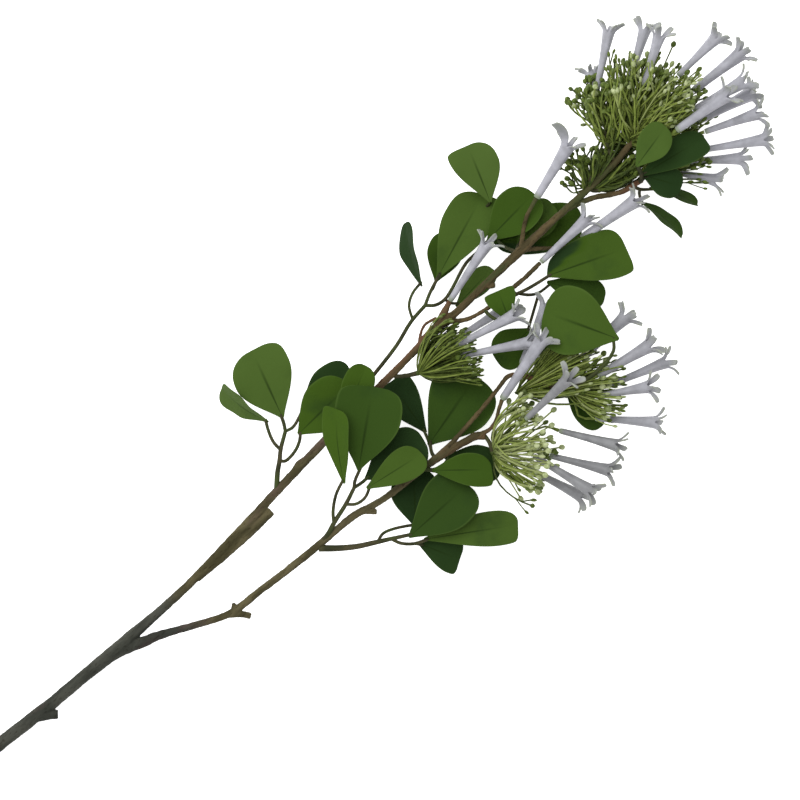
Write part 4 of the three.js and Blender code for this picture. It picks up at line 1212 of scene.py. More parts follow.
def pick_edges(shape, wanted):
    """Selects the edges for which wanted(first corner, second corner) is true."""
    for part in (*shape.verts, *shape.edges, *shape.faces):
        part.select = False
    for edge in shape.edges:
        if wanted(edge.verts[0].co, edge.verts[1].co):
            edge.select = True
    shape.select_flush(True)


def turn_of(place):
    """The angle of a point round the upright axis, from 0 to 360 degrees."""
    return math.degrees(math.atan2(place.x, place.y)) % 360


def draw_up(flower, wanted, step, times):
    """Draws the wanted edges upward, row by row."""
    pick_edges(bmesh.from_edit_mesh(flower.data), wanted)
    bmesh.update_edit_mesh(flower.data)
    for _ in range(times):
        bpy.ops.mesh.extrude_region_move(TRANSFORM_OT_translate={"value": (0, 0, step)})


def on_rim(middle):
    """A test for edges on the rim that belong to the lobe with its middle at that angle."""
    def wanted(a, b):
        off = (turn_of((a + b) / 2) - middle + 180) % 360 - 180
        level = abs(a.z - 1) < RIM_REACH and abs(b.z - 1) < RIM_REACH
        return level and abs(off) < 180 / LOBES
    return wanted


def number_lobe(flower, lobe):
    """Numbers a lobe: the points above the rim that have no number yet."""
    shape = bmesh.from_edit_mesh(flower.data)
    number = shape.verts.layers.int["lobe"]
    for vertex in shape.verts:
        if vertex.co.z > 1 + RIM_REACH and vertex[number] == 0:
            vertex[number] = lobe
    bmesh.update_edit_mesh(flower.data)


def straight_flower():
    """The upright pattern: its tube is one unit high and each lobe rises one more."""
    row = 1 / TUBE_ROWS
    bpy.ops.mesh.primitive_cylinder_add(
        vertices=AROUND, radius=1, depth=row, end_fill_type="NOTHING", location=(0, 0, row / 2))
    flower = bpy.context.object
    flower.name = "straight_flower"
    bpy.ops.object.transform_apply(location=True, rotation=True, scale=True)
    bpy.ops.object.mode_set(mode="EDIT")
    shape = bmesh.from_edit_mesh(flower.data)
    shape.verts.layers.int.new("lobe")
    draw_up(flower, lambda a, b: min(a.z, b.z) > row / 2, row, TUBE_ROWS - 1)
    for k in range(LOBES):
        draw_up(flower, on_rim(k * 360 / LOBES), 1 / LOBE_ROWS, LOBE_ROWS)
        number_lobe(flower, k + 1)
    bpy.ops.object.mode_set(mode="OBJECT")
    wear(flower, PETAL)
    return flower


FLOWER_PATTERN = straight_flower()
print("straight flower points:", len(FLOWER_PATTERN.data.vertices))

# %% Bending a copy
TUBE_BASE = 2.0 * MM
TUBE_WAIST = 2.65 * MM
TUBE_WAIST_AT = 0.6
TUBE_FLARE_AT = 0.45
TUBE_MOUTH = 4.45 * MM
# Above one, the flare comes late; the pleats between the lobes are this deep
TUBE_FLARE_BEND = 1.5
TUBE_PLEAT = 0.05
LOBE_LENGTH = 10.8 * MM
LOBE_HALF = 2.45 * MM
LOBE_CUP = 0.8 * MM
# Lobes leave the mouth at the first angle. Their flare, less the second one, then adds to it
LOBE_LEAVE = 20.0
LOBE_LESS = 12.0
LOBE_FLARE = 38.0
LOBE_WAVE = 16.0
LOBE_CURL = 20.0
LOBE_CURL_SPREAD = (0.2, 1.7)
# A lobe's width at its waist, as a share of its fullest, and what the tip loses of that, squared
LOBE_WAIST = 0.86
LOBE_TIP_LOSS = 0.75
LOBE_ROUND_AT = 0.66
# Above one, the rows of a lobe lie closer together towards its tip
LOBE_CROWDING = 1.5
# Lobes that are longer or shorter than the rest, as the flower above the long leaf has a long one
LOBE_STRETCH = {
    ("g1", 4): 2.4, ("t2", 0): 0.6, ("t2", 1): 0.6, ("t2", 2): 0.6, ("t2", 3): 1.5, ("t2", 4): 0.6,
}
# That long lobe is also wider than the rest, and leans further out by this many degrees
LOBE_BREADTH = {("g1", 4): 1.7}
LOBE_LEAN = {("g1", 4): 26}
# How far a lobe may turn about its own length, in degrees
LOBE_TWIST = 42.0
PETAL_THICKNESS = 1.15 * MM
PETAL_OFFSET = -0.6
FLOWER_SEED = 300
# How lilac the flowers of each bunch are, from 0 for a darker plain grey to 1 for a lighter lilac
LILAC_SHARE = {"g": 0.85, "h": 0.8, "j": 0.1, "i": 0.6, "t": 0.8, "f": 0.8}
BEND_STEPS = 24


def tube_radius(share):
    """The trumpet's radius: slow widening, then a flare at the mouth."""
    slow = TUBE_BASE + (TUBE_WAIST - TUBE_BASE) * smoothstep(0, TUBE_WAIST_AT, share)
    past = max(share - TUBE_FLARE_AT, 0) / (1 - TUBE_FLARE_AT)
    return slow + (TUBE_MOUTH - TUBE_WAIST) * past ** TUBE_FLARE_BEND


def lobe_flare(turn, k):
    """How far a lobe leans out, in degrees. It differs from lobe to lobe."""
    return LOBE_FLARE + LOBE_WAVE * math.sin(turn * 0.7 + k * 2.3)


def lobe_curve(flare, curl, length):
    """Places out and up along a lobe that leans out, then bends back."""
    out, up = TUBE_MOUTH, 0.0
    curve = [(out, up, LOBE_LEAVE * DEGREE)]
    for i in range(1, BEND_STEPS + 1):
        share = i / BEND_STEPS
        lean = LOBE_LEAVE + (flare - LOBE_LESS) * smoothstep(0, 0.35, share)
        lean += curl * smoothstep(0.3, 1, share)
        out += math.sin(lean * DEGREE) * length / BEND_STEPS
        up += math.cos(lean * DEGREE) * length / BEND_STEPS
        curve.append((out, up, lean * DEGREE))
    return curve


def lobe_curves(name, chance):
    """The curve of each lobe of a flower."""
    curves = []
    for k in range(LOBES):
        flare = lobe_flare(FLOWERS[name][2], k) + LOBE_LEAN.get((name, k), 0)
        length = LOBE_LENGTH * LOBE_STRETCH.get((name, k), 1)
        curves.append(lobe_curve(flare, LOBE_CURL * chance.uniform(*LOBE_CURL_SPREAD), length))
    return curves


def lobe_half_width(share, breadth):
    """Half the width of a lobe: a slight waist, a fuller middle and a rounded tip."""
    widest = LOBE_HALF * breadth
    if share < LOBE_ROUND_AT:
        return widest * (LOBE_WAIST + (1 - LOBE_WAIST) * smoothstep(0.1, LOBE_ROUND_AT, share))
    past = (share - LOBE_ROUND_AT) / (1 - LOBE_ROUND_AT)
    return widest * math.sqrt(1 - LOBE_TIP_LOSS * past ** 3)


def at_share(curve, share):
    """The values at a share of a lobe's curve."""
    step = share * BEND_STEPS
    low = min(int(step), BEND_STEPS - 1)
    return [a + (b - a) * (step - low) for a, b in zip(curve[low], curve[low + 1])]


def on_tube(share, angle, turn, length):
    """Where a point of the straight tube lies on an upright trumpet."""
    pleat = 1 + TUBE_PLEAT * math.cos(LOBES * (angle - turn * DEGREE)) * smoothstep(0.1, 0.8, share)
    radius = tube_radius(share) * pleat
    return Vector((math.sin(angle) * radius, share * length, math.cos(angle) * radius))


def on_lobe(height, angle, turn, length, number, curve, breadth):
    """Where a point of a straight lobe lies on an upright trumpet, and how far off its middle."""
    middle = ((number - 1) * 360 / LOBES + turn) * DEGREE
    off = (angle - middle + math.pi) % (2 * math.pi) - math.pi
    across = off / (math.pi / LOBES)
    share = 1 - max(2 - height, 0) ** LOBE_CROWDING
    out, up, slope = at_share(curve, share)
    free = smoothstep(0, 0.3, share)
    arc_side = TUBE_MOUTH * math.sin(off)
    arc_sag = TUBE_MOUTH * (1 - math.cos(off))
    side = arc_side + (lobe_half_width(share, breadth) * across - arc_side) * free
    sag = arc_sag + (LOBE_CUP * across ** 2 - arc_sag) * free
    twist = LOBE_TWIST * math.sin(turn * 0.9 + number * 1.7) * free * DEGREE
    sag += side * math.sin(twist)
    side *= math.cos(twist)
    out -= sag * math.cos(slope)
    up += sag * math.sin(slope) * free
    place = Vector((math.sin(middle) * out + math.cos(middle) * side, length + up,
                    math.cos(middle) * out - math.sin(middle) * side))
    return place, across


def trumpet(name, seed):
    """One flower: a copy of the straight one, carried onto its own axis."""
    root, ahead, length = flower_line(name)
    turn = FLOWERS[name][2]
    lean = Vector((0, 1, 0)).rotation_difference(ahead)
    curves = lobe_curves(name, random.Random(seed))
    made = copy_of(FLOWER_PATTERN, f"trumpet_{name}")
    lobe_numbers = [item.value for item in made.data.attributes["lobe"].data]
    reaches, edges = [], []
    for vertex, number in zip(made.data.vertices, lobe_numbers):
        height = vertex.co.z
        angle = math.atan2(vertex.co.x, vertex.co.y) + turn * DEGREE
        across = 0.0
        if number == 0:
            place = on_tube(height, angle, turn, length)
        else:
            breadth = LOBE_BREADTH.get((name, number - 1), 1)
            place, across = on_lobe(height, angle, turn, length, number, curves[number - 1], breadth)
        place.rotate(lean)
        vertex.co = root + place
        reaches.append(height)
        edges.append(across)
    keep_values(made.data, "reach", reaches)
    keep_values(made.data, "across", edges)
    keep_values(made.data, "tone", [LILAC_SHARE[name[0]]] * len(edges))
    turn_outward(made)
    thicken(made, PETAL_THICKNESS, PETAL_OFFSET)
    return made


faces = 0
for number, name in enumerate(FLOWERS):
    faces += settle(trumpet(name, FLOWER_SEED + number), "petal", f"flower_{name}")
put_away(FLOWER_PATTERN)
print("flowers:", len(FLOWERS), "faces:", faces)

# %% [markdown]
# ## Umbels
# A bunch of thin green stalks leaves one knob. Some carry trumpets, the rest end in small buds.
# A straight budded stalk, a short fork and a flower stalk are each modelled once. The places seen in
# the photo come first, and then a seeded draw fills the fan, as in the part itself, where it finds
# room between leaves and flowers. A real bunch is far denser: a second draw fills it with finer
# stalks, which leave the knob widely and then draw together, and may fork near their buds.

# %% Umbels: the places
# Root: from the wood to the knob. Fan: heading, half width, lift, half lift in degrees, the shortest
# and the longest stalk in millimetres, and how many. Bunch: the same for the finer stalks, which
# leave the collar or, without one, the knob. They draw in by a share towards a heading. Forks, light
# and bud say how many fork, how light they are and how large their buds are. Wild is how far they
# stray, in millimetres. Thick widens the finer stalks and large widens the few buds that were seen
# one by one. A gap holds no finer stalks; it is given as shares of the half width.
# Some buds lie on the table; this is their height.
REST_BUD = 0.5
UMBELS = {
    "h": {
        "root": [(403, 6, 31), (410, 0.5, 31), (418, -4, 32)],
        "flowers": ["h0", "h1", "h2"],
        "buds": [(463, 4, 34), (466, -3, 33)],
        "fan": (-14, 26, 4, 22, 36, 48, 14),
        "bunch": (-12, 36, 2, 26, 32, 52, 170),
        "draw_in": (0.95, -40), "forks": 0.1, "light": 0.05, "bud": 0.6, "wild": 4,
    },
    "j": {
        "root": [(424, -72, 29.5), (423, -79, 29.5), (420, -86, 29)],
        "flowers": ["j1", "j2", "j3", "j4", "j5"],
        "buds": [(457, -64, 36), (469, -71, 30), (478, -93, 26), (469, -101, 34),
                 (463, -119, REST_BUD), (412, -128, 5), (422, -128, REST_BUD)],
        "fan": (-30, 58, 4, 30, 38, 50, 16),
        "collar": [(429, -76, 30), (423, -83, 29.5), (420, -86, 29), (416, -92, 27)],
        "bunch": (-36, 56, 6, 28, 32, 52, 66),
        "draw_in": (0.55, -42), "forks": 0.3, "light": 0.72, "bud": 0.8, "wild": 7, "thick": 1.35,
        "gap": (0.14, 0.38),
    },
    "i1": {
        "root": [(477, -61, 28), (481, -64, 27), (485, -65, 26)],
        "flowers": ["i1", "h4"],
        "buds": [(526, -87, 24)],
        "fan": (-18, 24, -4, 20, 34, 46, 9),
        "collar": [(462, -64, 24), (474, -67, 24), (485, -65, 26)],
        "bunch": (-22, 36, -2, 24, 32, 54, 150),
        "draw_in": (0.8, -18), "forks": 0.1, "light": 0.3, "bud": 0.65, "wild": 2,
    },
    "i2": {
        "root": [(491, -85, 25), (494, -88, 25), (496, -91, 25)],
        "flowers": ["i2", "i3", "i4", "i5"],
        "buds": [(534, -86, 28), (532, -91, 22), (509, -124, 18)],
        "fan": (-36, 36, 2, 26, 26, 38, 11),
        "collar": [(491, -85, 25), (496, -91, 25), (494, -98, 24)],
        "bunch": (-44, 38, 2, 28, 26, 46, 110),
        "draw_in": (0.8, -38), "forks": 0.1, "light": 0.4, "bud": 0.7, "wild": 2,
    },
    "t0": {
        "root": [(609, 13, 40), (611, 17, 40), (613, 20, 39)],
        "flowers": [],
        "buds": [(603, 37, 40), (610, 38, 36), (620, 35, 38)],
        "fan": (66, 44, 0, 30, 14, 24, 4),
        "collar": [(600, 13, 39), (607, 15, 40), (613, 20, 39)],
        "bunch": (84, 62, 0, 30, 12, 30, 34),
        "draw_in": (0.2, 80), "forks": 0.2, "light": -0.1, "bud": 0.8, "wild": 9, "thick": 1.4,
        "large": 1.3,
    },
    "t1": {
        "root": [(606, 12, 40), (608, 9, 37), (611, 7, 36)],
        "flowers": [],
        "buds": [],
        "fan": (2, 24, -6, 22, 28, 40, 9),
        "collar": [(606, 12, 38), (613, 8, 36), (624, 6, 36)],
        "bunch": (8, 32, -8, 20, 16, 60, 150),
        "draw_in": (0.5, 4), "forks": 0.2, "light": -0.2, "bud": 0.6, "wild": 8, "thick": 1.35,
    },
    "t2": {
        "root": [(634, 14, 41.5), (637, 26, 40), (645, 37, 38)],
        "flowers": ["t1", "t2", "t4"],
        "buds": [(642, 71, 22), (648, 67, 34), (649, 75, REST_BUD), (668, 74, 26)],
        "fan": (48, 40, 2, 28, 28, 38, 11),
        "collar": [(637, 24, 40), (645, 37, 38), (652, 44, 37)],
        "bunch": (52, 52, 0, 32, 16, 42, 85),
        "draw_in": (0.3, 50), "forks": 0.6, "light": 0.25, "bud": 0.85, "wild": 12, "thick": 1.35,
        "large": 1.5,
    },
    "t3": {
        "root": [(654, 17.6, 43), (660, 21, 45), (668, 25, 46)],
        "flowers": ["t3", "f3", "f4", "f5", "f6"],
        "buds": [(728, 52, 50), (730, 24, 48), (699, 66, 52)],
        "fan": (16, 42, 6, 30, 42, 56, 24),
        "collar": [(650, 17, 43), (660, 21, 45), (674, 30, 46)],
        "bunch": (18, 62, 4, 34, 24, 58, 250),
        "draw_in": (0.3, 28), "forks": 0.45, "light": 0.4, "bud": 0.7, "wild": 16, "thick": 1.15,
    },
    "t4": {
        "root": [(639, -9, 34), (645, -8, 34), (651, -7, 34)],
        "flowers": ["f7", "f8", "f9", "f10", "f11"],
        "buds": [(688, -34, REST_BUD), (716, -10, 30)],
        "fan": (-16, 34, -2, 26, 36, 48, 9),
        "collar": [(640, -9, 34), (651, -7, 34), (659, -8, 34)],
        "bunch": (-8, 50, -4, 26, 20, 46, 90),
        "draw_in": (0.3, -10), "forks": 0.4, "light": 0.1, "bud": 0.75, "wild": 5,
    },
}
print("umbels:", len(UMBELS))

# %% [markdown]
# ## Places already taken
# Before any stalk is drawn, wood, leaves and flowers are noted as rows of balls, much as in the
# part itself. New stalks keep clear of them.

# %% Occupied places, as balls
NOTE_STEP = 3 * MM
NOTE_ROWS = 16
NOTE_SIDES = 6
NOTE_LOBE = 4
NOTE_RADIUS = 2.4 * MM
LOBE_ROOT = 3.5 * MM
CAD_LOBE_LENGTH = 11.5 * MM
CAD_MOUTH = 4.8 * MM
CAD_BASE = 1.9 * MM
CAD_LOBE_LEAN = 15
WIDEST_NOTE = 6 * MM
MEASURE_STEPS = 200
busy = []


def on_line(points, share):
    """The point at a share of a smooth line, counted from point to point."""
    reach = share * (len(points) - 1)
    i = min(int(reach), len(points) - 2)
    before = points[i - 1] if i > 0 else points[0] * 2 - points[1]
    after = points[i + 2] if i + 2 < len(points) else points[-1] * 2 - points[-2]
    return between(before, points[i], points[i + 1], after, reach - i)


def note_bar(points, radii):
    """Notes a bar that follows a smooth line through the points."""
    fine = [on_line(points, k / MEASURE_STEPS) for k in range(MEASURE_STEPS + 1)]
    length = sum((b - a).length for a, b in zip(fine, fine[1:]))
    steps = max(math.ceil(length / NOTE_STEP), 1)
    for k in range(steps + 1):
        reach = k / steps * (len(points) - 1)
        i = min(int(reach), len(points) - 2)
        busy.append((on_line(points, k / steps), radii[i] + (radii[i + 1] - radii[i]) * (reach - i)))


def note_leaf(leaf):
    """Notes a leaf, row by row."""
    axes = leaf_axes(leaf)
    _, _, width, _, widest = leaf
    for i in range(NOTE_ROWS + 1):
        for j in range(-NOTE_SIDES, NOTE_SIDES + 1):
            along, wide, _ = leaf_outline(i / NOTE_ROWS, width / 2 * MM, widest)
            aside = wide * (j / NOTE_SIDES)
            busy.append((on_leaf(axes, along, aside, leaf_fold(along, aside)), NOTE_RADIUS))


def note_flower(name):
    """Notes a flower: its tube, then its lobes."""
    root, ahead, length = flower_line(name)
    turn = FLOWERS[name][2]
    lean = Vector((0, 1, 0)).rotation_difference(ahead)
    for k in range(NOTE_ROWS + 1):
        share = k / NOTE_ROWS
        busy.append((root + ahead * (length * share), CAD_BASE + (CAD_MOUTH - CAD_BASE) * share ** 2))
    for k in range(LOBES):
        angle = (turn + k * 360 / LOBES) * DEGREE
        flare = (lobe_flare(turn, k) + CAD_LOBE_LEAN) * DEGREE
        for j in range(1, NOTE_LOBE + 1):
            reach = CAD_LOBE_LENGTH * j / NOTE_LOBE
            out = LOBE_ROOT + math.sin(flare) * reach
            place = Vector((math.sin(angle) * out, length + math.cos(flare) * reach, math.cos(angle) * out))
            place.rotate(lean)
            busy.append((root + place, NOTE_RADIUS))


for rows in (MAIN_STEM, SECOND_STEM, LOWER_BRANCH, *WOODY_TWIGS):
    note_bar([spot(*row[:3]) for row in rows], [row[3] * MM for row in rows])
for name, rows in WOODY_FLOWER_STALKS:
    note_bar([*(spot(*row[:3]) for row in rows), seat(name)], [*(row[3] * MM for row in rows), SEAT_RADIUS])
for parts in SPRAYS.values():
    for rows, start, end in parts["twigs"]:
        note_bar([spot(*row) for row in rows], [max(start, end) * MM] * len(rows))
    for leaf in parts["leaves"]:
        note_leaf(leaf)
for name in FLOWERS:
    note_flower(name)
print("occupied places:", len(busy))

# %% [markdown]
# ## Stalks
# The three patterns stand upright, one unit high up to the bud. A bud takes up one more unit.

# %% Three straight stalks
STALK_SIDES = 6
# Height and width of each ring of a straight stalk, in its own length and radius
BUD = [(1.16, 2.3), (1.4, 3.1), (1.66, 3.0), (1.86, 2.0), (1.98, 0.6)]
BUD_RINGS = [
    (0.14, 1.0), (0.28, 1.0), (0.42, 0.97), (0.56, 0.95), (0.7, 0.93), (0.85, 0.92), (1.0, 1.0), *BUD,
]
FORK_RINGS = [(0.35, 0.9), (0.7, 0.9), (1.0, 1.0), *BUD]
CALYX_RINGS = [(0.3, 1.0), (0.6, 1.0), (0.8, 1.05), (0.9, 1.3), (0.97, 1.75), (1.0, 1.85)]


def straight_stalk(name, rings):
    """An upright stalk: a short cylinder whose top face is drawn out ring by ring."""
    first = rings[0][0]
    bpy.ops.mesh.primitive_cylinder_add(
        vertices=STALK_SIDES, radius=1, depth=first, location=(0, 0, first / 2))
    stalk = bpy.context.object
    stalk.name = name
    bpy.ops.object.transform_apply(location=True, rotation=True, scale=True)
    bpy.ops.object.mode_set(mode="EDIT")
    shape = bmesh.from_edit_mesh(stalk.data)
    for part in (*shape.verts, *shape.edges, *shape.faces):
        part.select = False
    for face in shape.faces:
        face.select = face.normal.z > 0.9
    bmesh.update_edit_mesh(stalk.data)
    for (low, before), (high, wide) in zip(rings, rings[1:]):
        bpy.ops.mesh.extrude_region_move(TRANSFORM_OT_translate={"value": (0, 0, high - low)})
        grow = wide / before
        bpy.ops.transform.resize(value=(grow, grow, 1), center_override=(0, 0, high))
    bpy.ops.object.mode_set(mode="OBJECT")
    wear(stalk, STALK)
    return stalk


BUD_PATTERN = straight_stalk("straight_bud_stalk", BUD_RINGS)
FORK_PATTERN = straight_stalk("straight_fork", FORK_RINGS)
CALYX_PATTERN = straight_stalk("straight_flower_stalk", CALYX_RINGS)
print("bud stalk faces:", len(BUD_PATTERN.data.polygons))

# %% Laying a stalk
STALK_START = 1.2 * MM
STALK_RADIUS = 0.62 * MM
FINE_STALK_RADIUS = 0.55 * MM
FORK_RADIUS = 0.46 * MM
FLOWER_STALK_RADIUS = 0.85 * MM
BUD_LENGTH = 5.2 * MM
FINE_BUD_LENGTH = 4.2 * MM
LONGEST_CALYX = 12 * MM
LINE_STEPS = 20
# Five times as steep as the bud is long, so that it has its full swell after a fifth of it
BUD_ONSET = 5


def bowed(start, first, last, end):
    """A line that leaves start towards the first point and comes in at end from the last one."""
    line = []
    for k in range(LINE_STEPS + 1):
        share = k / LINE_STEPS
        rest = 1 - share
        line.append(start * rest ** 3 + first * (3 * share * rest ** 2)
                    + last * (3 * share ** 2 * rest) + end * share ** 3)
    return line


def lay_stalk(pattern, line, radius, bud, swell, tone, name):
    """A copy of a straight stalk along a line; a bud takes the last stretch, as thick as swell says."""
    points = np.array([tuple(place) for place in line])
    frames = along_frames(line)
    sides = np.array([tuple(side) for side, _ in frames])
    overs = np.array([tuple(over) for _, over in frames])
    lengths = np.concatenate([[0.0], np.cumsum(np.linalg.norm(np.diff(points, axis=0), axis=1))])
    shaft = lengths[-1] - bud
    made = copy_of(pattern, name)
    flat = np.empty(len(made.data.vertices) * 3)
    made.data.vertices.foreach_get("co", flat)
    local = flat.reshape(-1, 3)
    up = local[:, 2]
    reach = np.where(up <= 1, up * shaft, shaft + (up - 1) * bud)
    across = radius * (1 + (swell - 1) * np.clip((up - 1) * BUD_ONSET, 0, 1))[:, None]

    def at(values):
        """Values of the line, at each point's height."""
        return np.stack([np.interp(reach, lengths, values[:, i]) for i in range(3)], axis=1)

    place = at(points) + at(sides) * local[:, 0:1] * across + at(overs) * local[:, 1:2] * across
    made.data.vertices.foreach_set("co", place.ravel())
    keep_values(made.data, "reach", up)
    keep_values(made.data, "tone", np.full(len(up), tone))
    return made


# %% Drawing a fan
CLEARANCE = 1.2 * MM
BUDS_APART = 4.84 * MM
MOST_TRIES = 4000
FIRST_SEED = 101
SEED_STEP = 17
BUD_STEPS = (0.35, 0.5, 0.65, 0.8, 0.9, 1)
BUD_STEP_RADII = [r * MM for r in (0.9, 0.9, 0.8, 1.4, 2.2, 2.2)]
FLOOR_GAP = 0.3 * MM


def drawer(seed):
    """Repeatable draws between 0 and 1."""
    state = seed
    while True:
        state = state * 16807 % 2147483647
        yield state / 2147483647


def tree_of(places):
    """A search tree over occupied places."""
    tree = kdtree.KDTree(len(places))
    for index, (place, _) in enumerate(places):
        tree.insert(place, index)
    tree.balance()
    return tree


def nearby(tree, places, samples, clearance):
    """True where a sample touches the floor or an occupied place."""
    for place, radius in samples:
        if place.z <= radius + FLOOR_GAP:
            return True
        for _, index, distance in tree.find_range(place, WIDEST_NOTE + radius + clearance):
            if distance <= places[index][1] + radius + clearance:
                return True
    return False


def aim(turn, rise):
    """The direction with that heading and lift, both in degrees."""
    flat = math.cos(rise * DEGREE)
    return Vector((math.cos(turn * DEGREE) * flat, math.sin(turn * DEGREE) * flat, math.sin(rise * DEGREE)))


def draw_fan(hub, fan, ends, tree, draws):
    """Ends of new stalks from the hub, each with room of its own."""
    heading, spread, lift, lift_spread, shortest, longest, wanted = fan
    placed = []
    for _ in range(MOST_TRIES):
        if len(placed) >= wanted:
            break
        turn = heading + spread * (2 * next(draws) - 1)
        rise = lift + lift_spread * (2 * next(draws) - 1)
        length = (shortest + (longest - shortest) * next(draws)) * MM
        end = hub + aim(turn, rise) * length
        if any((other - end).length <= BUDS_APART for other in ends):
            continue
        samples = [(hub.lerp(end, share), wide) for share, wide in zip(BUD_STEPS, BUD_STEP_RADII)]
        if nearby(tree, busy, samples, CLEARANCE):
            continue
        ends.append(end)
        placed.append(end)
    return placed


# %% Drawing a bunch of finer stalks
FINE_BUDS_APART = 1.9 * MM
FINE_CLEARANCE = 0.1 * MM
FINE_BUD = 1.5 * MM
LEAF_ROOM = 1.9 * MM
# How much further off the middle a stalk leaves the knob than it ends
BUNCH_SWEEP = 1.7
BUNCH_LEAVE = 0.36
BUNCH_ARRIVE = 0.3
FORK_FROM = (0.55, 0.8)
FORK_TURN = (14, 32)
FORK_LENGTH = (0.75, 1.1)
# How much lighter a finer stalk is painted the higher it rises, and darker the lower: painted light and
# shade
LIGHT_BY_HEIGHT = 0.4
TONE_SPREAD = 0.25
fixed = [(place, LEAF_ROOM if radius == NOTE_RADIUS else radius) for place, radius in busy]
fixed_tree = tree_of(fixed)


def drift(draws, reach):
    """A small step in a drawn direction."""
    return Vector([2 * next(draws) - 1 for _ in range(3)]) * reach * MM


def bunch_line(hub, root, parts, side, up, share, draws):
    """A stalk that leaves its root widely and draws in towards the bunch's own heading."""
    heading, spread, lift, lift_spread, shortest, longest, _ = parts["bunch"]
    gather, towards = parts["draw_in"]
    length = (shortest + (longest - shortest) * share) * MM
    outward = aim(heading + spread * side, lift + lift_spread * up)
    leave = aim(heading + spread * side * BUNCH_SWEEP, lift + lift_spread * up * BUNCH_SWEEP)
    arrive = (aim(towards, lift) * gather + outward * (1 - gather)).normalized()
    end = hub.lerp(root, 0.5) + outward * length
    start = root + leave * STALK_START
    first = start + leave * length * BUNCH_LEAVE + drift(draws, parts["wild"])
    last = end - arrive * length * BUNCH_ARRIVE + drift(draws, parts["wild"])
    return bowed(start, first, last, end)


def free_line(line):
    """True where a line, past its first third, and the bud at its end touch nothing noted."""
    samples = [(place, FINE_STALK_RADIUS) for place in line[LINE_STEPS // 3:-2:2]]
    samples += [(place, FINE_BUD) for place in line[-2:]]
    return not nearby(fixed_tree, fixed, samples, FINE_CLEARANCE)


def draw_bunch(hub, collar, parts, ends, draws):
    """Lines of finer stalks, each with its tone."""
    low, high = parts.get("gap", (1, 1))
    placed = []
    for _ in range(MOST_TRIES):
        if len(placed) >= parts["bunch"][6]:
            break
        side, up, share = 2 * next(draws) - 1, 2 * next(draws) - 1, next(draws)
        if low < side < high:
            continue
        line = bunch_line(hub, on_line(collar, next(draws)), parts, side, up, share, draws)
        if any((other - line[-1]).length <= FINE_BUDS_APART for other in ends):
            continue
        if not free_line(line):
            continue
        ends.append(line[-1])
        # The tone paints higher stalks lit and lower ones in shade
        placed.append((line, parts["light"] + LIGHT_BY_HEIGHT * up))
    return placed


def fork_line(line, chance):
    """A short side stalk that leaves a stalk near its bud."""
    start = round(LINE_STEPS * chance.uniform(*FORK_FROM))
    ahead = (line[start + 1] - line[start]).normalized()
    rest = (line[-1] - line[start]).length
    sideways = Vector((chance.uniform(-1, 1), chance.uniform(-1, 1), chance.uniform(-0.6, 1)))
    sideways = (sideways - ahead * sideways.dot(ahead)).normalized()
    turn = chance.uniform(*FORK_TURN) * DEGREE
    outward = ahead * math.cos(turn) + sideways * math.sin(turn)
    end = line[start] + outward * rest * chance.uniform(*FORK_LENGTH)
    return bowed(line[start], line[start] + outward * rest * 0.3, end - ahead * rest * 0.3, end)


# %% Building the umbels
ROOT_RADII = [r * MM for r in (1.5, 1.6, 1.9)]
KNOB_RADIUS = 2.1 * MM
COLLAR_RADIUS = 1.0 * MM
CALYX_NOTE_RADII = [r * MM for r in (0.9, 0.9, 1.7)]
# A flower stalk turns into the flower's own axis for this share of its length, at most
CALYX_SHARE = 0.4
# Between which shares stalks differ in thickness, and finer buds in length and in thickness
STALK_SPREAD = (0.85, 1.15)
FINE_BUD_SPREAD = (0.8, 1.3)
SWELL_SPREAD = (0.8, 1.15)


def knob(place):
    """The rounded knob that all stalks leave."""
    bpy.ops.mesh.primitive_uv_sphere_add(segments=12, ring_count=8, radius=KNOB_RADIUS, location=place)
    ball = bpy.context.object
    bpy.ops.object.transform_apply(location=True, rotation=True, scale=True)
    wear(ball, STALK)
    return ball


def bud_line(hub, leave, end):
    """The line of a stalk whose bud was seen or drawn first: nearly straight, with a slight bow."""
    ahead = (end - hub).normalized()
    start = hub + ahead * STALK_START
    length = (end - hub).length
    first = hub + (leave * 0.3 + ahead * 0.7).normalized() * length * 0.35
    return bowed(start, first, end - ahead * length * 0.3, end)


def root_of(letter, root, collar):
    """The short stalk from the wood to the knob, the knob, and the collar on either side of it."""
    bars = [(TWIG, smooth_line(root, 4), eased(ROOT_RADII, 4))]
    if (collar[-1] - collar[0]).length > KNOB_RADIUS:
        line = smooth_line(collar, 4)
        bars.append((STALK, line, [COLLAR_RADIUS] * len(line)))
    made = [knob(root[-1])]
    for material, line, radii in bars:
        made.append(tubes(f"root_{letter}", [(line, radii)], TWIG_SIDES))
        wear(made[-1], material)
    return made


def flower_stalk(hub, name):
    """The stalk from the hub to a trumpet, with the calyx at its end."""
    _, ahead, _ = flower_line(name)
    end = seat(name)
    before = end - ahead * min((end - hub).length * CALYX_SHARE, LONGEST_CALYX)
    start = hub.lerp(before, STALK_START / (before - hub).length)
    note_bar([start, before, end], CALYX_NOTE_RADII)
    line = smooth_line([start, before, end], LINE_STEPS // 2)
    return lay_stalk(CALYX_PATTERN, line, FLOWER_STALK_RADIUS, 0, 1, 0.5, f"to_{name}")


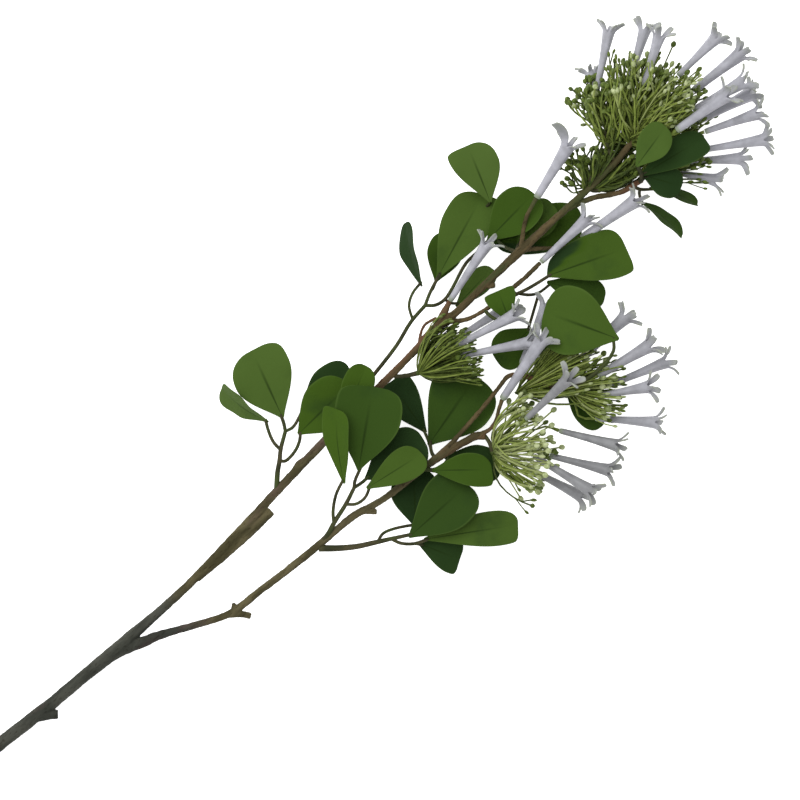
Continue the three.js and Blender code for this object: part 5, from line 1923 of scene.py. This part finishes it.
def bud_stalks(hub, leave, ends, parts, chance):
    """The stalks whose buds were seen or drawn first. Each is noted as it is laid."""
    made = []
    for end in ends:
        size = STALK_RADIUS * chance.uniform(*STALK_SPREAD)
        tone = clamped(parts["light"] + chance.uniform(-TONE_SPREAD, 2 * TONE_SPREAD))
        line = bud_line(hub, leave, end)
        made.append(lay_stalk(BUD_PATTERN, line, size, BUD_LENGTH, parts.get("large", 1.1), tone, "stalk"))
        busy.extend((hub.lerp(end, share), wide) for share, wide in zip(BUD_STEPS, BUD_STEP_RADII))
    return made


def fine_stalk(pattern, line, size, tone, parts, chance):
    """A finer stalk or a fork."""
    size *= chance.uniform(*STALK_SPREAD)
    tone = clamped(tone + chance.uniform(-TONE_SPREAD, TONE_SPREAD))
    bud = FINE_BUD_LENGTH * chance.uniform(*FINE_BUD_SPREAD)
    swell = parts["bud"] * chance.uniform(*SWELL_SPREAD)
    return lay_stalk(pattern, line, size, bud, swell, tone, "fine_stalk")


def fine_stalks(fine, parts, chance):
    """The finer stalks, and the forks that find room."""
    thick = parts.get("thick", 1)
    made = []
    for line, tone in fine:
        made.append(fine_stalk(BUD_PATTERN, line, FINE_STALK_RADIUS * thick, tone, parts, chance))
        if chance.random() < parts["forks"]:
            for fork in (fork_line(line, chance), fork_line(line, chance)):
                if free_line(fork):
                    made.append(fine_stalk(FORK_PATTERN, fork, FORK_RADIUS * thick, tone, parts, chance))
    return made


def umbel(letter, seed):
    """One umbel, and how many stalks, finer stalks and forks it has."""
    parts = UMBELS[letter]
    root = [spot(*row) for row in parts["root"]]
    hub = root[-1]
    leave = (root[-1] - root[0]).normalized()
    draws = drawer(seed)
    chance = random.Random(seed)
    ends = [spot(*bud) for bud in parts["buds"]]
    coarse = [*ends, *draw_fan(hub, parts["fan"], ends, tree_of(busy), draws)]
    collar = [spot(*row) for row in parts["collar"]] if "collar" in parts else [hub, hub]
    fine = draw_bunch(hub, collar, parts, ends, draws)
    pieces = root_of(letter, root, collar)
    pieces += [flower_stalk(hub, name) for name in parts["flowers"]]
    pieces += bud_stalks(hub, leave, coarse, parts, chance)
    finer = fine_stalks(fine, parts, chance)
    whole = joined([*pieces, *finer], f"umbel_head_{letter}")
    return whole, len(coarse), len(fine), len(finer) - len(fine)


for number, letter in enumerate(UMBELS):
    head, coarse, fine, forks = umbel(letter, FIRST_SEED + number * SEED_STEP)
    faces = settle(head, "umbel", f"umbel_{letter}")
    print("umbel", letter, "stalks", coarse, "finer", fine, "forks", forks, "faces", faces)
for pattern in (BUD_PATTERN, FORK_PATTERN, CALYX_PATTERN):
    put_away(pattern)
